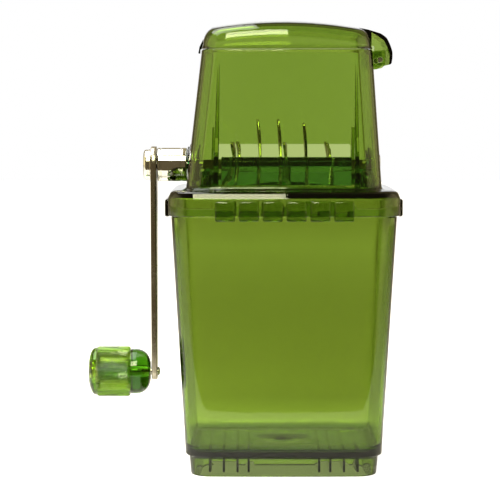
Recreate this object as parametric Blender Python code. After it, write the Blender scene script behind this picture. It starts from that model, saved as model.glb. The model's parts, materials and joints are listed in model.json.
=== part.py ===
"""Hand-cranked ice crusher: a see-through jug, a crusher housing that sits on it, a hinged lid and a crank.

Metres, +Z up.  +X is to the right as seen from the front, so the crank is on the -X side, and +Y is the back.
The origin is on the table, at the centre of the whole part's outline.  Everything hangs from one empty on the
jug's centre line, and every moving group from an empty on its own joint axis.
"""

import math

import bmesh
import bpy

MM = 0.001
GAP = 0.3 * MM

# Overall reach from the jug's centre line, which is placed so that the outline is centred on the origin.
KNOB_REACH = 110.1 * MM
GRIP_REACH = 65.4 * MM
BODY_X = (KNOB_REACH - GRIP_REACH) / 2

# Plan sections: the depth is a share of the width, with rounded corners and slightly bowed sides.
DEPTH_RATIO = 0.88
CORNER_RADIUS = 13 * MM
CORNER_STEPS = 5
SIDE_POINTS = 2
BOW = 1.2 * MM

# Jug.
FOOT_TOP = 10.5 * MM
BASE_HALF = 54.8 * MM
JUG_SLOPE = (62.0 - 54.8) / (139.0 - 10.5)
FOOT_INSET = 2.4 * MM
FOOT_WALL = 2.6 * MM
FLOOR_TOP = 13.5 * MM
WALL = 2.6 * MM
JUG_SHOULDER = 142.5 * MM
JUG_TOP = 152.7 * MM
RIM_INSET = 1.3 * MM
FOOT_RIB = 1.2 * MM
FOOT_RIB_BOTTOM = 2.5 * MM
FOOT_RIB_PLACES = (19.3, 25.4, 32.9, 40.5)

# Collar of the housing, which drops over the jug's rim.
COLLAR_BOTTOM = 143.1 * MM
COLLAR_TOP = 157.0 * MM
DECK_BOTTOM = JUG_TOP + GAP
COLLAR_WALL = 2.1 * MM
RIM_CLEARANCE = 0.35 * MM
GRIP_BOTTOM = 140.7 * MM
SIDE_GRIP_BOTTOM = 142.0 * MM
GRIP_TOP = 151.6 * MM
GRIP_WIDTH = 10.7 * MM
GRIP_PITCH = 12.8 * MM
GRIP_DEPTH = 2.5 * MM
FRONT_GRIPS = 6
SIDE_GRIPS = 5

# Hopper walls of the housing.  The left wall leans in more than the right one.
HOPPER_BASE = 159.0 * MM
HOPPER_TOP = 233.0 * MM
HOPPER_HALF = 54.0 * MM
HOPPER_REF_Z = 160.0 * MM
HOPPER_SLOPE = 0.0919
HOPPER_LEAN = 0.0237
HOPPER_WALL = 2.5 * MM
LEDGE_TOP = 156.5 * MM
THROAT_HALF_X = 40.0 * MM
THROAT_HALF_Y = 28.5 * MM
THROAT_CORNER = 5 * MM
SLOT_LEFT = -38.8 * MM
SLOT_RIGHT = 39.2 * MM
SLOT_BOTTOM = 171.5 * MM
SLOT_TOP = 180.2 * MM

# Upright rails inside the hopper beside the breakers, in mm: side, the foot's two X edges, the top's two X
# edges, the top's Z and the Y at which the top meets the wall.
RAILS = (
    (-1, -38.9, -35.7, -36.0, -34.9, 225.0, 40.1),
    (-1, 38.1, 41.0, 38.2, 39.3, 225.0, 40.1),
    (1, -40.9, -39.1, -40.9, -39.1, 190.0, 42.9),
    (1, 39.5, 41.3, 39.5, 41.3, 190.0, 42.9),
)
RAIL_FACE = 38.7 * MM
RAIL_FOOT_Y = 45.9 * MM

# Lid.
LID_BOTTOM = HOPPER_TOP + GAP
LID_TOP = 250.0 * MM
LID_ARCH_X = 224 * MM
LID_ARCH_Y = 320 * MM
LID_FILLET = 6.5 * MM
LID_WALL = 2.2 * MM
LIP_HALF_WIDTH = 13 * MM

# Lid hinge: the pin runs along Y through the housing's two ears and the two cheeks of the lid's cover.
PIN_X = 53.1 * MM
PIN_Z = 228.0 * MM
PIN_RADIUS = 1.5 * MM
PIN_HOLE = 1.8 * MM
EAR_INNER = 14.7 * MM
EAR_OUTER = 17.7 * MM
COVER_INNER = 18.0 * MM
COVER_OUTER = 20.0 * MM
COVER_SKIN = 1.5 * MM

# Rotor.
SHAFT_Z = 169.8 * MM
SHAFT_HALF = 2.6 * MM
THREAD_RADIUS = 2.5 * MM
BLADE_THICKNESS = 1.4 * MM
SQUARE_HOLE = 2.9 * MM
BLADE_TIP = 25.4 * MM
BLADE_HUB = 9.0 * MM
BLADE_BEND = 1.5 * MM
BLADE_PLACES = (
    (-27.2, 62), (-24.4, -62), (-12.8, 0), (-1.4, 4), (1.6, 62), (12.8, 24), (26.0, -62),
)
BUSH_RADIUS = 6.0 * MM
BUSH_BORE = 2.9 * MM
LEFT_SEAT_X = -52.2 * MM
RIGHT_SEAT_X = 52.7 * MM

# Fixed breakers on both sides of the rotor, and their screws.
BREAKER_X = 1.4 * MM
BREAKER_HALF = 35.6 * MM
BREAKER_FACE = 29.2 * MM
BREAKER_PLATE = 2.2 * MM
BREAKER_BOTTOM = 158.0 * MM
BREAKER_TOP = 172.4 * MM
BAR_BOTTOM = 169.1 * MM
BAR_TOP = 174.6 * MM
BAR_DEPTH = 3.1 * MM
RIB_WIDTH = 4.4 * MM
RIB_DEPTH = 2.0 * MM
COLUMN_X = 44.4 * MM
COLUMN_RADIUS = 3.5 * MM
COLUMN_TOP = 167.0 * MM
SCREW_RADIUS = 1.5 * MM
SCREW_HOLE = 1.8 * MM

# Crank.
CRANK_RADIUS = 117.4 * MM
ARM_LEFT = -74.3 * MM
ARM_RIGHT = -71.0 * MM
ARM_EYE = 10.2 * MM
ARM_END = 4.8 * MM
SLEEVE_RADIUS = 9.5 * MM
AXLE_RADIUS = 2.0 * MM
KNOB_RADIUS = 14.1 * MM
NECK_RADIUS = 12.7 * MM
FLUTES = 36
FLUTE_DEPTH = 0.35 * MM

ROUND_STEPS = 28
SMALL_STEPS = 16


# ---------------------------------------------------------------- scene, materials and meshes

def clear_scene():
    """Remove whatever the open file holds."""
    for item in list(bpy.data.objects):
        bpy.data.objects.remove(item, do_unlink=True)


def material(name, color, metallic, roughness, alpha=1.0):
    """One Principled material with the part's own colour."""
    made = bpy.data.materials.new(name)
    made.use_nodes = True
    shader = made.node_tree.nodes["Principled BSDF"]
    shader.inputs["Base Color"].default_value = (*color, 1.0)
    shader.inputs["Metallic"].default_value = metallic
    shader.inputs["Roughness"].default_value = roughness
    shader.inputs["Alpha"].default_value = alpha
    return made


def green(name):
    """See-through green plastic."""
    return material(name, (0.16, 0.36, 0.03), 0.0, 0.12, alpha=0.55)


def steel(name):
    """Plain stamped or turned steel."""
    return material(name, (0.56, 0.54, 0.50), 1.0, 0.32)


def chrome(name):
    """Bright plated steel."""
    return material(name, (0.80, 0.79, 0.76), 1.0, 0.08)


def empty(name, place, parent=None):
    """An empty that carries a group of parts."""
    made = bpy.data.objects.new(name, None)
    made.location = place
    made.parent = parent
    bpy.context.collection.objects.link(made)
    return made


def mesh_object(name, shape, parent, paint=None, smooth=True):
    """An object from a bmesh, with its faces turned outwards.  Without a material it is a hidden tool."""
    bmesh.ops.recalc_face_normals(shape, faces=shape.faces[:])
    mesh = bpy.data.meshes.new(name)
    shape.to_mesh(mesh)
    shape.free()
    if smooth:
        mesh.shade_smooth()
        mesh.set_sharp_from_angle(angle=math.radians(35))
    made = bpy.data.objects.new(name, mesh)
    made.parent = parent
    bpy.context.collection.objects.link(made)
    if paint:
        mesh.materials.append(paint)
    else:
        made.hide_render = True
        made.display_type = "WIRE"
    return made


def loft(rings, closed=False):
    """A skin through rings of equal length: a closed tube of rings, or one capped at both ends."""
    shape = bmesh.new()
    made = [[shape.verts.new(point) for point in ring] for ring in rings]
    pairs = list(zip(made, made[1:]))
    if closed:
        pairs.append((made[-1], made[0]))
    for low, high in pairs:
        for i in range(len(low)):
            j = (i + 1) % len(low)
            shape.faces.new((low[i], low[j], high[j], high[i]))
    if not closed:
        shape.faces.new(made[0])
        shape.faces.new(made[-1])
    return shape


def prism(outline, low, high, axis):
    """An outline extruded from low to high along an axis.  Its points are (Y, Z), (X, Z) or (X, Y) pairs."""
    place = {
        "X": lambda a, b, t: (t, a, b),
        "Y": lambda a, b, t: (a, t, b),
        "Z": lambda a, b, t: (a, b, t),
    }[axis]
    return loft([[place(a, b, level) for a, b in outline] for level in (low, high)])


def box(low, high):
    """A plain box between two corners."""
    (x0, y0, z0), (x1, y1, z1) = low, high
    return prism([(x0, y0), (x1, y0), (x1, y1), (x0, y1)], z0, z1, "Z")


def turned(profile, axis="X", steps=ROUND_STEPS, closed=False):
    """A profile of (place along the axis, radius) points, spun about that axis."""
    place = {
        "X": lambda t, a, b: (t, a, b),
        "Y": lambda t, a, b: (a, t, b),
        "Z": lambda t, a, b: (a, b, t),
    }[axis]
    rings = []
    for along, radius in profile:
        angles = [2 * math.pi * i / steps for i in range(steps)]
        rings.append([place(along, radius * math.cos(a), radius * math.sin(a)) for a in angles])
    return loft(rings, closed)


def tube(low, high, outer, bore):
    """A plain small tube along X."""
    return turned([(low, outer), (high, outer), (high, bore), (low, bore)], steps=SMALL_STEPS, closed=True)


def shift(shape, x=0.0, y=0.0, z=0.0):
    """Move a bmesh before it becomes an object."""
    bmesh.ops.translate(shape, verts=shape.verts[:], vec=(x, y, z))
    return shape


def join(shapes):
    """Put several separate shapes in one bmesh, as one tool for a Boolean."""
    whole = bmesh.new()
    for number, shape in enumerate(shapes):
        part = bpy.data.meshes.new(f"joined_{number}")
        shape.to_mesh(part)
        shape.free()
        whole.from_mesh(part)
        bpy.data.meshes.remove(part)
    return whole


def combine(target, operation, name, shape, parent):
    """Cut a shape out of an object, or weld it on, with a Boolean modifier."""
    tool = mesh_object(name, shape, parent, smooth=False)
    step = target.modifiers.new(name, "BOOLEAN")
    step.operation = operation
    step.object = tool
    step.solver = "EXACT"


# ---------------------------------------------------------------- plan sections

def section(half_x, half_y, inset, z, corner=CORNER_RADIUS, lean=0.0, bow=BOW):
    """A rounded rectangle at height z, inset from its nominal size, whose sides bulge by the bow."""
    wide = half_x - inset
    deep = half_y - inset
    radius = max(corner - inset, 1 * MM)
    points = []
    for quarter in range(4):
        side_x = 1 if quarter in (0, 3) else -1
        side_y = 1 if quarter in (0, 1) else -1
        for step in range(CORNER_STEPS + 1):
            angle = math.pi / 2 * (quarter + step / CORNER_STEPS)
            x = side_x * (wide - radius) + radius * math.cos(angle)
            y = side_y * (deep - radius) + radius * math.sin(angle)
            points.append((x, y))
        ahead = math.pi / 2 * (quarter + 1)
        start = points[-1]
        along = 2 * ((wide if quarter % 2 == 0 else deep) - radius)
        for step in range(1, SIDE_POINTS + 1):
            part = along * step / (SIDE_POINTS + 1)
            points.append((start[0] - part * math.sin(ahead), start[1] + part * math.cos(ahead)))
    bowed = []
    for x, y in points:
        out_x = x * (1 - bow / half_x * (y / half_y) ** 2)
        out_y = y * (1 - bow / half_y * (x / half_x) ** 2)
        bowed.append((out_x + lean, out_y, z))
    return bowed


def jug_ring(z, inset):
    """The jug's plan at height z."""
    half = BASE_HALF + JUG_SLOPE * (z - FOOT_TOP)
    return section(half, DEPTH_RATIO * half, inset, z)


def collar_ring(z, inset):
    """The collar's plan, a clearance outside the jug's rim, at height z."""
    half = BASE_HALF + JUG_SLOPE * (JUG_TOP - FOOT_TOP)
    out = RIM_INSET - RIM_CLEARANCE - COLLAR_WALL
    return section(half - out, DEPTH_RATIO * half - out, inset, z, corner=CORNER_RADIUS - out)


def hopper_size(z):
    """Half width, half depth and sideways lean of the hopper's outside at height z."""
    half = HOPPER_HALF - HOPPER_SLOPE * (z - HOPPER_REF_Z)
    return half, DEPTH_RATIO * half, HOPPER_LEAN * (z - HOPPER_REF_Z)


def hopper_ring(z, inset):
    """The hopper's plan at height z."""
    half_x, half_y, lean = hopper_size(z)
    return section(half_x, half_y, inset, z, lean=lean)


# ---------------------------------------------------------------- jug

def build_jug(base):
    """One moulding: hollow foot ring, floor, drafted walls and a stepped rim."""
    rings = [
        jug_ring(FOOT_TOP, FOOT_INSET + FOOT_WALL),
        jug_ring(0.0, FOOT_INSET + FOOT_WALL),
        jug_ring(0.0, FOOT_INSET + 0.6 * MM),
        jug_ring(0.8 * MM, FOOT_INSET),
        jug_ring(FOOT_TOP, FOOT_INSET - 0.3 * MM),
        jug_ring(FOOT_TOP + 0.7 * MM, 1.2 * MM),
        jug_ring(FOOT_TOP + 2.0 * MM, 0.4 * MM),
        jug_ring(FOOT_TOP + 3.7 * MM, 0.0),
        jug_ring(JUG_SHOULDER, 0.0),
        jug_ring(JUG_SHOULDER + GAP, RIM_INSET),
        jug_ring(JUG_TOP - 0.4 * MM, RIM_INSET),
        jug_ring(JUG_TOP, RIM_INSET + 0.4 * MM),
        jug_ring(JUG_TOP, WALL - 0.3 * MM),
        jug_ring(JUG_TOP - 0.4 * MM, WALL),
        jug_ring(FLOOR_TOP + 4.5 * MM, WALL),
        jug_ring(FLOOR_TOP + 1.5 * MM, WALL + 0.8 * MM),
        jug_ring(FLOOR_TOP, WALL + 3.0 * MM),
    ]
    jug = mesh_object("container", loft(rings), base, green("container_plastic"))
    combine(jug, "UNION", "foot_ribs", foot_ribs(), base)


def foot_ribs():
    """Stiffening ribs under the floor: four from front to back on each side."""
    half_y = DEPTH_RATIO * BASE_HALF - FOOT_INSET - FOOT_WALL / 2
    top = (FOOT_TOP + FLOOR_TOP) / 2
    half = FOOT_RIB / 2
    ribs = []
    for side in (-1, 1):
        for place in FOOT_RIB_PLACES:
            x = side * place * MM
            reach = half_y if place < FOOT_RIB_PLACES[-1] else half_y - 4 * MM
            ribs.append(box((x - half, -reach, FOOT_RIB_BOTTOM), (x + half, reach, top)))
    return join(ribs)


# ---------------------------------------------------------------- housing

def grip_blocks():
    """The raised finger grips around the collar."""
    half = BASE_HALF + JUG_SLOPE * (JUG_TOP - FOOT_TOP)
    jug_front = DEPTH_RATIO * half
    blocks = []
    for number in range(FRONT_GRIPS):
        middle = (number - (FRONT_GRIPS - 1) / 2) * GRIP_PITCH
        retreat = BOW * (middle / half) ** 2
        near = jug_front + 0.3 * MM - retreat
        far = near + GRIP_DEPTH + 0.8 * MM
        for side in (-1, 1):
            low_y, high_y = sorted((side * near, side * far))
            low = (middle - GRIP_WIDTH / 2, low_y, GRIP_BOTTOM)
            high = (middle + GRIP_WIDTH / 2, high_y, GRIP_TOP)
            blocks.append(box(low, high))
    for number in range(SIDE_GRIPS):
        middle = (number - (SIDE_GRIPS - 1) / 2) * GRIP_PITCH
        near = half + 0.3 * MM - BOW * (middle / jug_front) ** 2
        for side in (-1, 1):
            low_x, high_x = sorted((side * near, side * GRIP_REACH))
            low = (low_x, middle - GRIP_WIDTH / 2, SIDE_GRIP_BOTTOM)
            high = (high_x, middle + GRIP_WIDTH / 2, GRIP_TOP)
            blocks.append(box(low, high))
    return join(blocks)


def guide_rails():
    """Rails whose inner faces stand upright while the wall leans away: tall in front, short at the rear."""
    rails = []
    for side, foot_left, foot_right, top_left, top_right, top_z, top_y in RAILS:
        rings = []
        for left, right, wall_y, z in (
            (foot_left, foot_right, RAIL_FOOT_Y, LEDGE_TOP - 0.5 * MM),
            (top_left, top_right, top_y * MM, top_z * MM),
        ):
            low_y, high_y = sorted((side * RAIL_FACE, side * wall_y))
            edges = (left * MM, low_y), (right * MM, low_y), (right * MM, high_y), (left * MM, high_y)
            rings.append([(x, y, z) for x, y in edges])
        rails.append(loft(rings))
    return join(rails)


def ear_outline():
    """Side view of a hinge ear, which runs from the hopper's right wall round the pin."""
    return [
        (48.0 * MM, PIN_Z - 5.4 * MM), (55.0 * MM, PIN_Z - 4.6 * MM), (57.0 * MM, PIN_Z - 2.6 * MM),
        (57.0 * MM, PIN_Z + 4.6 * MM), (56.2 * MM, PIN_Z + 5.4 * MM), (47.2 * MM, PIN_Z + 4.8 * MM),
    ]


def build_housing(carrier):
    """Collar, deck with its throat, open-topped hopper, rails, bosses, hinge ears and a rear slot."""
    throat_top, throat_bottom = (
        section(THROAT_HALF_X, THROAT_HALF_Y, 0.0, z, THROAT_CORNER, BREAKER_X, 0.0)
        for z in (LEDGE_TOP, DECK_BOTTOM)
    )
    rings = [
        collar_ring(COLLAR_BOTTOM, 0.0),
        collar_ring(COLLAR_TOP - 4.5 * MM, 0.0),
        collar_ring(COLLAR_TOP - 2.0 * MM, 0.9 * MM),
        collar_ring(COLLAR_TOP - 0.5 * MM, 3.2 * MM),
        collar_ring(COLLAR_TOP, 6.0 * MM),
        hopper_ring(COLLAR_TOP + 0.2 * MM, -1.6 * MM),
        hopper_ring(HOPPER_BASE, 0.0),
        hopper_ring(HOPPER_TOP - 0.4 * MM, 0.0),
        hopper_ring(HOPPER_TOP, 0.4 * MM),
        hopper_ring(HOPPER_TOP, HOPPER_WALL - 0.4 * MM),
        hopper_ring(HOPPER_TOP - 0.4 * MM, HOPPER_WALL),
        hopper_ring(LEDGE_TOP + 1.5 * MM, HOPPER_WALL),
        hopper_ring(LEDGE_TOP, HOPPER_WALL + 1.5 * MM),
        throat_top,
        throat_bottom,
        collar_ring(DECK_BOTTOM, COLLAR_WALL + 0.6 * MM),
        collar_ring(DECK_BOTTOM - 0.6 * MM, COLLAR_WALL),
        collar_ring(COLLAR_BOTTOM, COLLAR_WALL),
    ]
    housing = mesh_object("housing", loft(rings, closed=True), carrier, green("housing_plastic"))
    combine(housing, "UNION", "grips", grip_blocks(), carrier)
    combine(housing, "UNION", "rails", guide_rails(), carrier)
    left_boss = shift(turned([(LEFT_SEAT_X, 11.5 * MM), (-48.5 * MM, 11.5 * MM)]), z=SHAFT_Z)
    right_boss = shift(turned([(48.9 * MM, 9.5 * MM), (RIGHT_SEAT_X, 9.5 * MM)]), z=SHAFT_Z)
    ears = [prism(ear_outline(), low, low + EAR_OUTER - EAR_INNER, "Y") for low in (-EAR_OUTER, EAR_INNER)]
    combine(housing, "UNION", "bosses_and_ears", join([left_boss, right_boss] + ears), carrier)
    cuts = [
        shift(turned([(-60 * MM, 10.6 * MM), (LEFT_SEAT_X, 10.6 * MM)]), z=SHAFT_Z),
        shift(turned([(RIGHT_SEAT_X, 6.8 * MM), (60 * MM, 6.8 * MM)]), z=SHAFT_Z),
        shift(turned([(-56 * MM, BUSH_RADIUS + GAP), (-44 * MM, BUSH_RADIUS + GAP)]), z=SHAFT_Z),
        shift(turned([(44 * MM, BUSH_RADIUS + GAP), (56 * MM, BUSH_RADIUS + GAP)]), z=SHAFT_Z),
        shift(turned([(-25 * MM, PIN_HOLE), (25 * MM, PIN_HOLE)], "Y", SMALL_STEPS), x=PIN_X, z=PIN_Z),
        box((SLOT_LEFT, 38 * MM, SLOT_BOTTOM), (SLOT_RIGHT, 52 * MM, SLOT_TOP)),
    ]
    hole_ends = (DECK_BOTTOM - 2 * MM, LEDGE_TOP + 2 * MM)
    for x, y in screw_places():
        hole = turned([(end, SCREW_HOLE) for end in hole_ends], "Z", SMALL_STEPS)
        cuts.append(shift(hole, x, y))
    for number, cut in enumerate(cuts):
        combine(housing, "DIFFERENCE", f"housing_hole_{number}", cut, carrier)


# ---------------------------------------------------------------- lid

def lid_top(x, y):
    """Height of the lid's outside above a point of its plan."""
    return LID_TOP - x * x / (2 * LID_ARCH_X) - y * y / (2 * LID_ARCH_Y)


def lid_ring(inset, drop, lean_z=HOPPER_TOP):
    """A ring of the lid that follows its arched top, a drop below it."""
    half_x, half_y, lean = hopper_size(lean_z)
    ring = section(half_x, half_y, inset, 0.0, lean=lean)
    return [(x, y, lid_top(x, y) - drop) for x, y, _ in ring]


def lid_shell(inset, thickness):
    """Rings of one skin of the lid, from its lower edge up over the fillet to the middle."""
    half_x, half_y, lean = hopper_size(HOPPER_TOP)
    fillet = LID_FILLET - thickness / 2
    rings = [section(half_x, half_y, inset, LID_BOTTOM, lean=lean)]
    for step in range(6):
        angle = math.pi / 2 * step / 5
        pull = inset + 0.8 * MM + fillet * (1 - math.cos(angle))
        rings.append(lid_ring(pull, thickness + fillet * (1 - math.sin(angle))))
    for pull in (16 * MM, 26 * MM, 36 * MM):
        rings.append(lid_ring(inset + pull, thickness))
    return rings


def cover_outline(inset):
    """Side view of the hinge cover: it runs on from the lid's top and turns down behind the pin."""
    top = lid_top(50 * MM, 0.0) + 0.4 * MM
    outer = [
        (46.4 * MM, top - 0.1 * MM),
        (53.6 * MM, top - 2.3 * MM),
        (56.8 * MM, top - 4.6 * MM),
        (58.6 * MM, top - 8.2 * MM),
        (60.0 * MM, top - 12.2 * MM),
        (60.0 * MM, top - 15.8 * MM),
        (59.4 * MM, top - 19.3 * MM),
    ]
    if inset:
        return [(max(x - inset, 48.5 * MM), z - inset) for x, z in outer] + [
            (57.0 * MM, PIN_Z - 12 * MM),
            (40.0 * MM, PIN_Z - 12 * MM),
            (40.0 * MM, LID_BOTTOM - 0.1 * MM),
            (48.5 * MM, LID_BOTTOM - 0.1 * MM),
        ]
    radius = 3.3 * MM
    points = list(outer)
    for step in range(6):
        angle = -math.pi / 2 - math.pi / 2 * step / 5
        points.append((PIN_X + radius * math.cos(angle), PIN_Z + radius * math.sin(angle)))
    points.append((PIN_X - radius, LID_BOTTOM + 2.0 * MM))
    points.append((47.2 * MM, LID_BOTTOM + 2.0 * MM))
    return points


def build_lid(hinge):
    """Arched shell with a finger lip on the left and a cover over the hinge on the right."""
    outer = lid_shell(0.0, 0.0)
    inner = lid_shell(LID_WALL, LID_WALL)
    shape = shift(loft(outer[::-1] + inner), -PIN_X, 0.0, -PIN_Z)
    lid = mesh_object("lid", shape, hinge, green("lid_plastic"))
    lip = [
        (-46.1 * MM, 231.6 * MM), (-46.1 * MM, 233.8 * MM), (-43.8 * MM, 234.6 * MM),
        (-43.2 * MM, 240.0 * MM), (-44.6 * MM, 239.4 * MM), (-46.6 * MM, 235.4 * MM),
        (-47.3 * MM, 231.6 * MM),
    ]
    lip_shape = prism(lip, -LIP_HALF_WIDTH, LIP_HALF_WIDTH, "Y")
    combine(lid, "UNION", "finger_lip", shift(lip_shape, -PIN_X, 0.0, -PIN_Z), hinge)
    cover = prism(cover_outline(0.0), -COVER_OUTER, COVER_OUTER, "Y")
    combine(lid, "UNION", "hinge_cover", shift(cover, -PIN_X, 0.0, -PIN_Z), hinge)
    hollow = prism(cover_outline(COVER_SKIN), -COVER_INNER, COVER_INNER, "Y")
    combine(lid, "DIFFERENCE", "hinge_cover_hollow", shift(hollow, -PIN_X, 0.0, -PIN_Z), hinge)
    hole = turned([(-25 * MM, PIN_HOLE), (25 * MM, PIN_HOLE)], "Y", SMALL_STEPS)
    combine(lid, "DIFFERENCE", "hinge_cover_holes", hole, hinge)


def build_pin(carrier):
    """Steel pin of the lid's hinge."""
    pin = mesh_object(
        "lid_hinge_pin",
        turned([(-19.7 * MM, PIN_RADIUS), (19.7 * MM, PIN_RADIUS)], "Y", SMALL_STEPS),
        carrier,
        steel("pin_steel"),
    )
    pin.location = (PIN_X, 0.0, PIN_Z)


# ---------------------------------------------------------------- breakers

def screw_places():
    """Plan positions of the four breaker screws."""
    middle = BREAKER_FACE + BREAKER_PLATE / 2
    return [(BREAKER_X + side * COLUMN_X, end * middle) for end in (-1, 1) for side in (-1, 1)]


def add_bars(breaker, carrier):
    """Give the front breaker its thick bar, in two halves, and the rib between them."""
    low_y = -BREAKER_FACE - 0.1 * MM
    bars = []
    for end in (-1, 1):
        low_x, high_x = sorted((BREAKER_X + end * RIB_WIDTH / 2, BREAKER_X + end * BREAKER_HALF))
        bars.append(box((low_x, low_y, BAR_BOTTOM), (high_x, low_y + BAR_DEPTH, BAR_TOP)))
    combine(breaker, "UNION", "bars", join(bars), carrier)
    reach = RIB_WIDTH / 2 + 0.1 * MM
    low = (BREAKER_X - reach, low_y, BREAKER_BOTTOM)
    rib = box(low, (BREAKER_X + reach, low_y + RIB_DEPTH, BAR_TOP))
    combine(breaker, "UNION", "rib", rib, carrier)


def build_breaker(name, side, top, carrier):
    """A fixed breaker: an upright plate with a screw column at each end."""
    back = BREAKER_FACE + BREAKER_PLATE
    low_y, high_y = sorted((side * BREAKER_FACE, side * back))
    low = (BREAKER_X - BREAKER_HALF, low_y, BREAKER_BOTTOM)
    high = (BREAKER_X + BREAKER_HALF, high_y, top)
    breaker = mesh_object(name, box(low, high), carrier, green(f"{name}_plastic"), smooth=False)
    middle = side * (BREAKER_FACE + BREAKER_PLATE / 2)
    foot = LEDGE_TOP + GAP
    for end in (-1, 1):
        x = BREAKER_X + end * COLUMN_X
        column = turned([(foot, COLUMN_RADIUS), (COLUMN_TOP, COLUMN_RADIUS)], "Z", SMALL_STEPS)
        combine(breaker, "UNION", f"{name}_column_{end}", shift(column, x, middle), carrier)
        reaches = (BREAKER_HALF - 1 * MM, COLUMN_X - 2 * MM)
        low_x, high_x = sorted(BREAKER_X + end * reach for reach in reaches)
        low = (low_x, low_y + 0.1 * MM, BREAKER_BOTTOM + 0.5 * MM)
        web = box(low, (high_x, high_y - 0.1 * MM, COLUMN_TOP - 1 * MM))
        combine(breaker, "UNION", f"{name}_web_{end}", web, carrier)
        hole = turned([(foot - 2 * MM, SCREW_HOLE), (foot + 8 * MM, SCREW_HOLE)], "Z", SMALL_STEPS)
        combine(breaker, "DIFFERENCE", f"{name}_screw_hole_{end}", shift(hole, x, middle), carrier)
    return breaker


def build_screws(carrier):
    """Four screws that come up through the deck into the breakers' columns."""
    head_top = DECK_BOTTOM - GAP
    profile = [
        (head_top - 1.9 * MM, 1.6 * MM), (head_top - 1.5 * MM, 2.6 * MM), (head_top - 0.6 * MM, 3.0 * MM),
        (head_top, 3.0 * MM), (head_top, SCREW_RADIUS), (head_top + 10.5 * MM, SCREW_RADIUS),
        (head_top + 11.2 * MM, 0.9 * MM),
    ]
    paint = steel("screw_steel")
    mesh = None
    for number, (x, y) in enumerate(screw_places(), start=1):
        if mesh is None:
            screw = mesh_object("breaker_screw_1", turned(profile, "Z", SMALL_STEPS), carrier, paint)
            mesh = screw.data
        else:
            screw = bpy.data.objects.new(f"breaker_screw_{number}", mesh)
            screw.parent = carrier
            bpy.context.collection.objects.link(screw)
        screw.location = (x, y, 0.0)


# ---------------------------------------------------------------- rotor

def square_ring(x, half, steps=24):
    """A square across X, with a point at each corner, as a ring that matches a round one."""
    points = []
    for i in range(steps):
        angle = 2 * math.pi * i / steps
        reach = half / max(abs(math.cos(angle)), abs(math.sin(angle)))
        points.append((x, reach * math.cos(angle), reach * math.sin(angle)))
    return points


def round_ring(x, radius, steps=24):
    """A circle across X."""
    angles = [2 * math.pi * i / steps for i in range(steps)]
    return [(x, radius * math.cos(a), radius * math.sin(a)) for a in angles]


def build_shaft(axis):
    """Square where the blades and the crank arm sit, round in the bushes and under the nut."""
    rings = [
        round_ring(-77.4 * MM, 2.2 * MM), round_ring(-77.1 * MM, THREAD_RADIUS),
        round_ring(-74.6 * MM, THREAD_RADIUS),
        square_ring(-74.6 * MM, SHAFT_HALF), square_ring(-70.9 * MM, SHAFT_HALF),
        round_ring(-70.9 * MM, SHAFT_HALF - 0.02 * MM), round_ring(-46.0 * MM, SHAFT_HALF - 0.02 * MM),
        square_ring(-46.0 * MM, SHAFT_HALF), square_ring(45.0 * MM, SHAFT_HALF),
        round_ring(45.0 * MM, SHAFT_HALF - 0.02 * MM), round_ring(53.4 * MM, SHAFT_HALF - 0.02 * MM),
    ]
    mesh_object("shaft", loft(rings), axis, steel("shaft_steel"))


def blade_outline():
    """Half of a blade, from the +Y side round to the -Y side over the upper arm, as (Y, Z) points."""
    hub = []
    for degrees in (0, 12, 24):
        angle = math.radians(degrees)
        hub.append((BLADE_HUB * math.cos(angle), BLADE_HUB * math.sin(angle)))
    arm = [
        (7.0 * MM, 5.4 * MM), (5.0 * MM, 10.0 * MM), (4.2 * MM, 17.0 * MM), (2.6 * MM, 22.5 * MM),
        (0.6 * MM, BLADE_TIP), (-1.4 * MM, 24.2 * MM), (-3.0 * MM, 19.0 * MM), (-4.4 * MM, 11.0 * MM),
        (-7.0 * MM, 5.4 * MM),
    ]
    far = []
    for degrees in (156, 168):
        angle = math.radians(degrees)
        far.append((BLADE_HUB * math.cos(angle), BLADE_HUB * math.sin(angle)))
    return hub + arm + far


def square_hole(angles, half):
    """Points of a square hole, one for each angle, with the nearest ones moved to its corners."""
    points = []
    for angle in angles:
        reach = half / max(abs(math.cos(angle)), abs(math.sin(angle)))
        points.append((reach * math.cos(angle), reach * math.sin(angle)))
    for y, z in ((half, half), (-half, half), (-half, -half), (half, -half)):
        nearest = min(range(len(points)), key=lambda i: math.dist(points[i], (y, z)))
        points[nearest] = (y, z)
    return points


def blade_shape(turn):
    """A two-armed blade with a square hole, its arms bent a little towards the crank."""
    half = blade_outline()
    outline = half + [(-y, -z) for y, z in half]
    angles = [math.atan2(z, y) + math.radians(turn) for y, z in outline]
    edge = []
    for angle, (y, z) in zip(angles, outline):
        reach = math.hypot(y, z)
        bend = BLADE_BEND * max(0.0, (reach - BLADE_HUB) / (BLADE_TIP - BLADE_HUB)) ** 2
        edge.append((bend, reach * math.cos(angle), reach * math.sin(angle)))
    hole = [(0.0, y, z) for y, z in square_hole(angles, SQUARE_HOLE)]
    low = -BLADE_THICKNESS / 2
    high = BLADE_THICKNESS / 2
    rings = []
    for level, outline in ((low, edge), (high, edge), (high, hole), (low, hole)):
        rings.append([(level - bend, y, z) for bend, y, z in outline])
    return loft(rings, closed=True)


def build_blades(axis):
    """Seven blades along the shaft, turned against each other."""
    paint = steel("blade_steel")
    for number, (place, turn) in enumerate(BLADE_PLACES, start=1):
        blade = mesh_object(f"blade_{number}", blade_shape(turn), axis, paint)
        blade.location = (place * MM, 0.0, 0.0)


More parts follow.
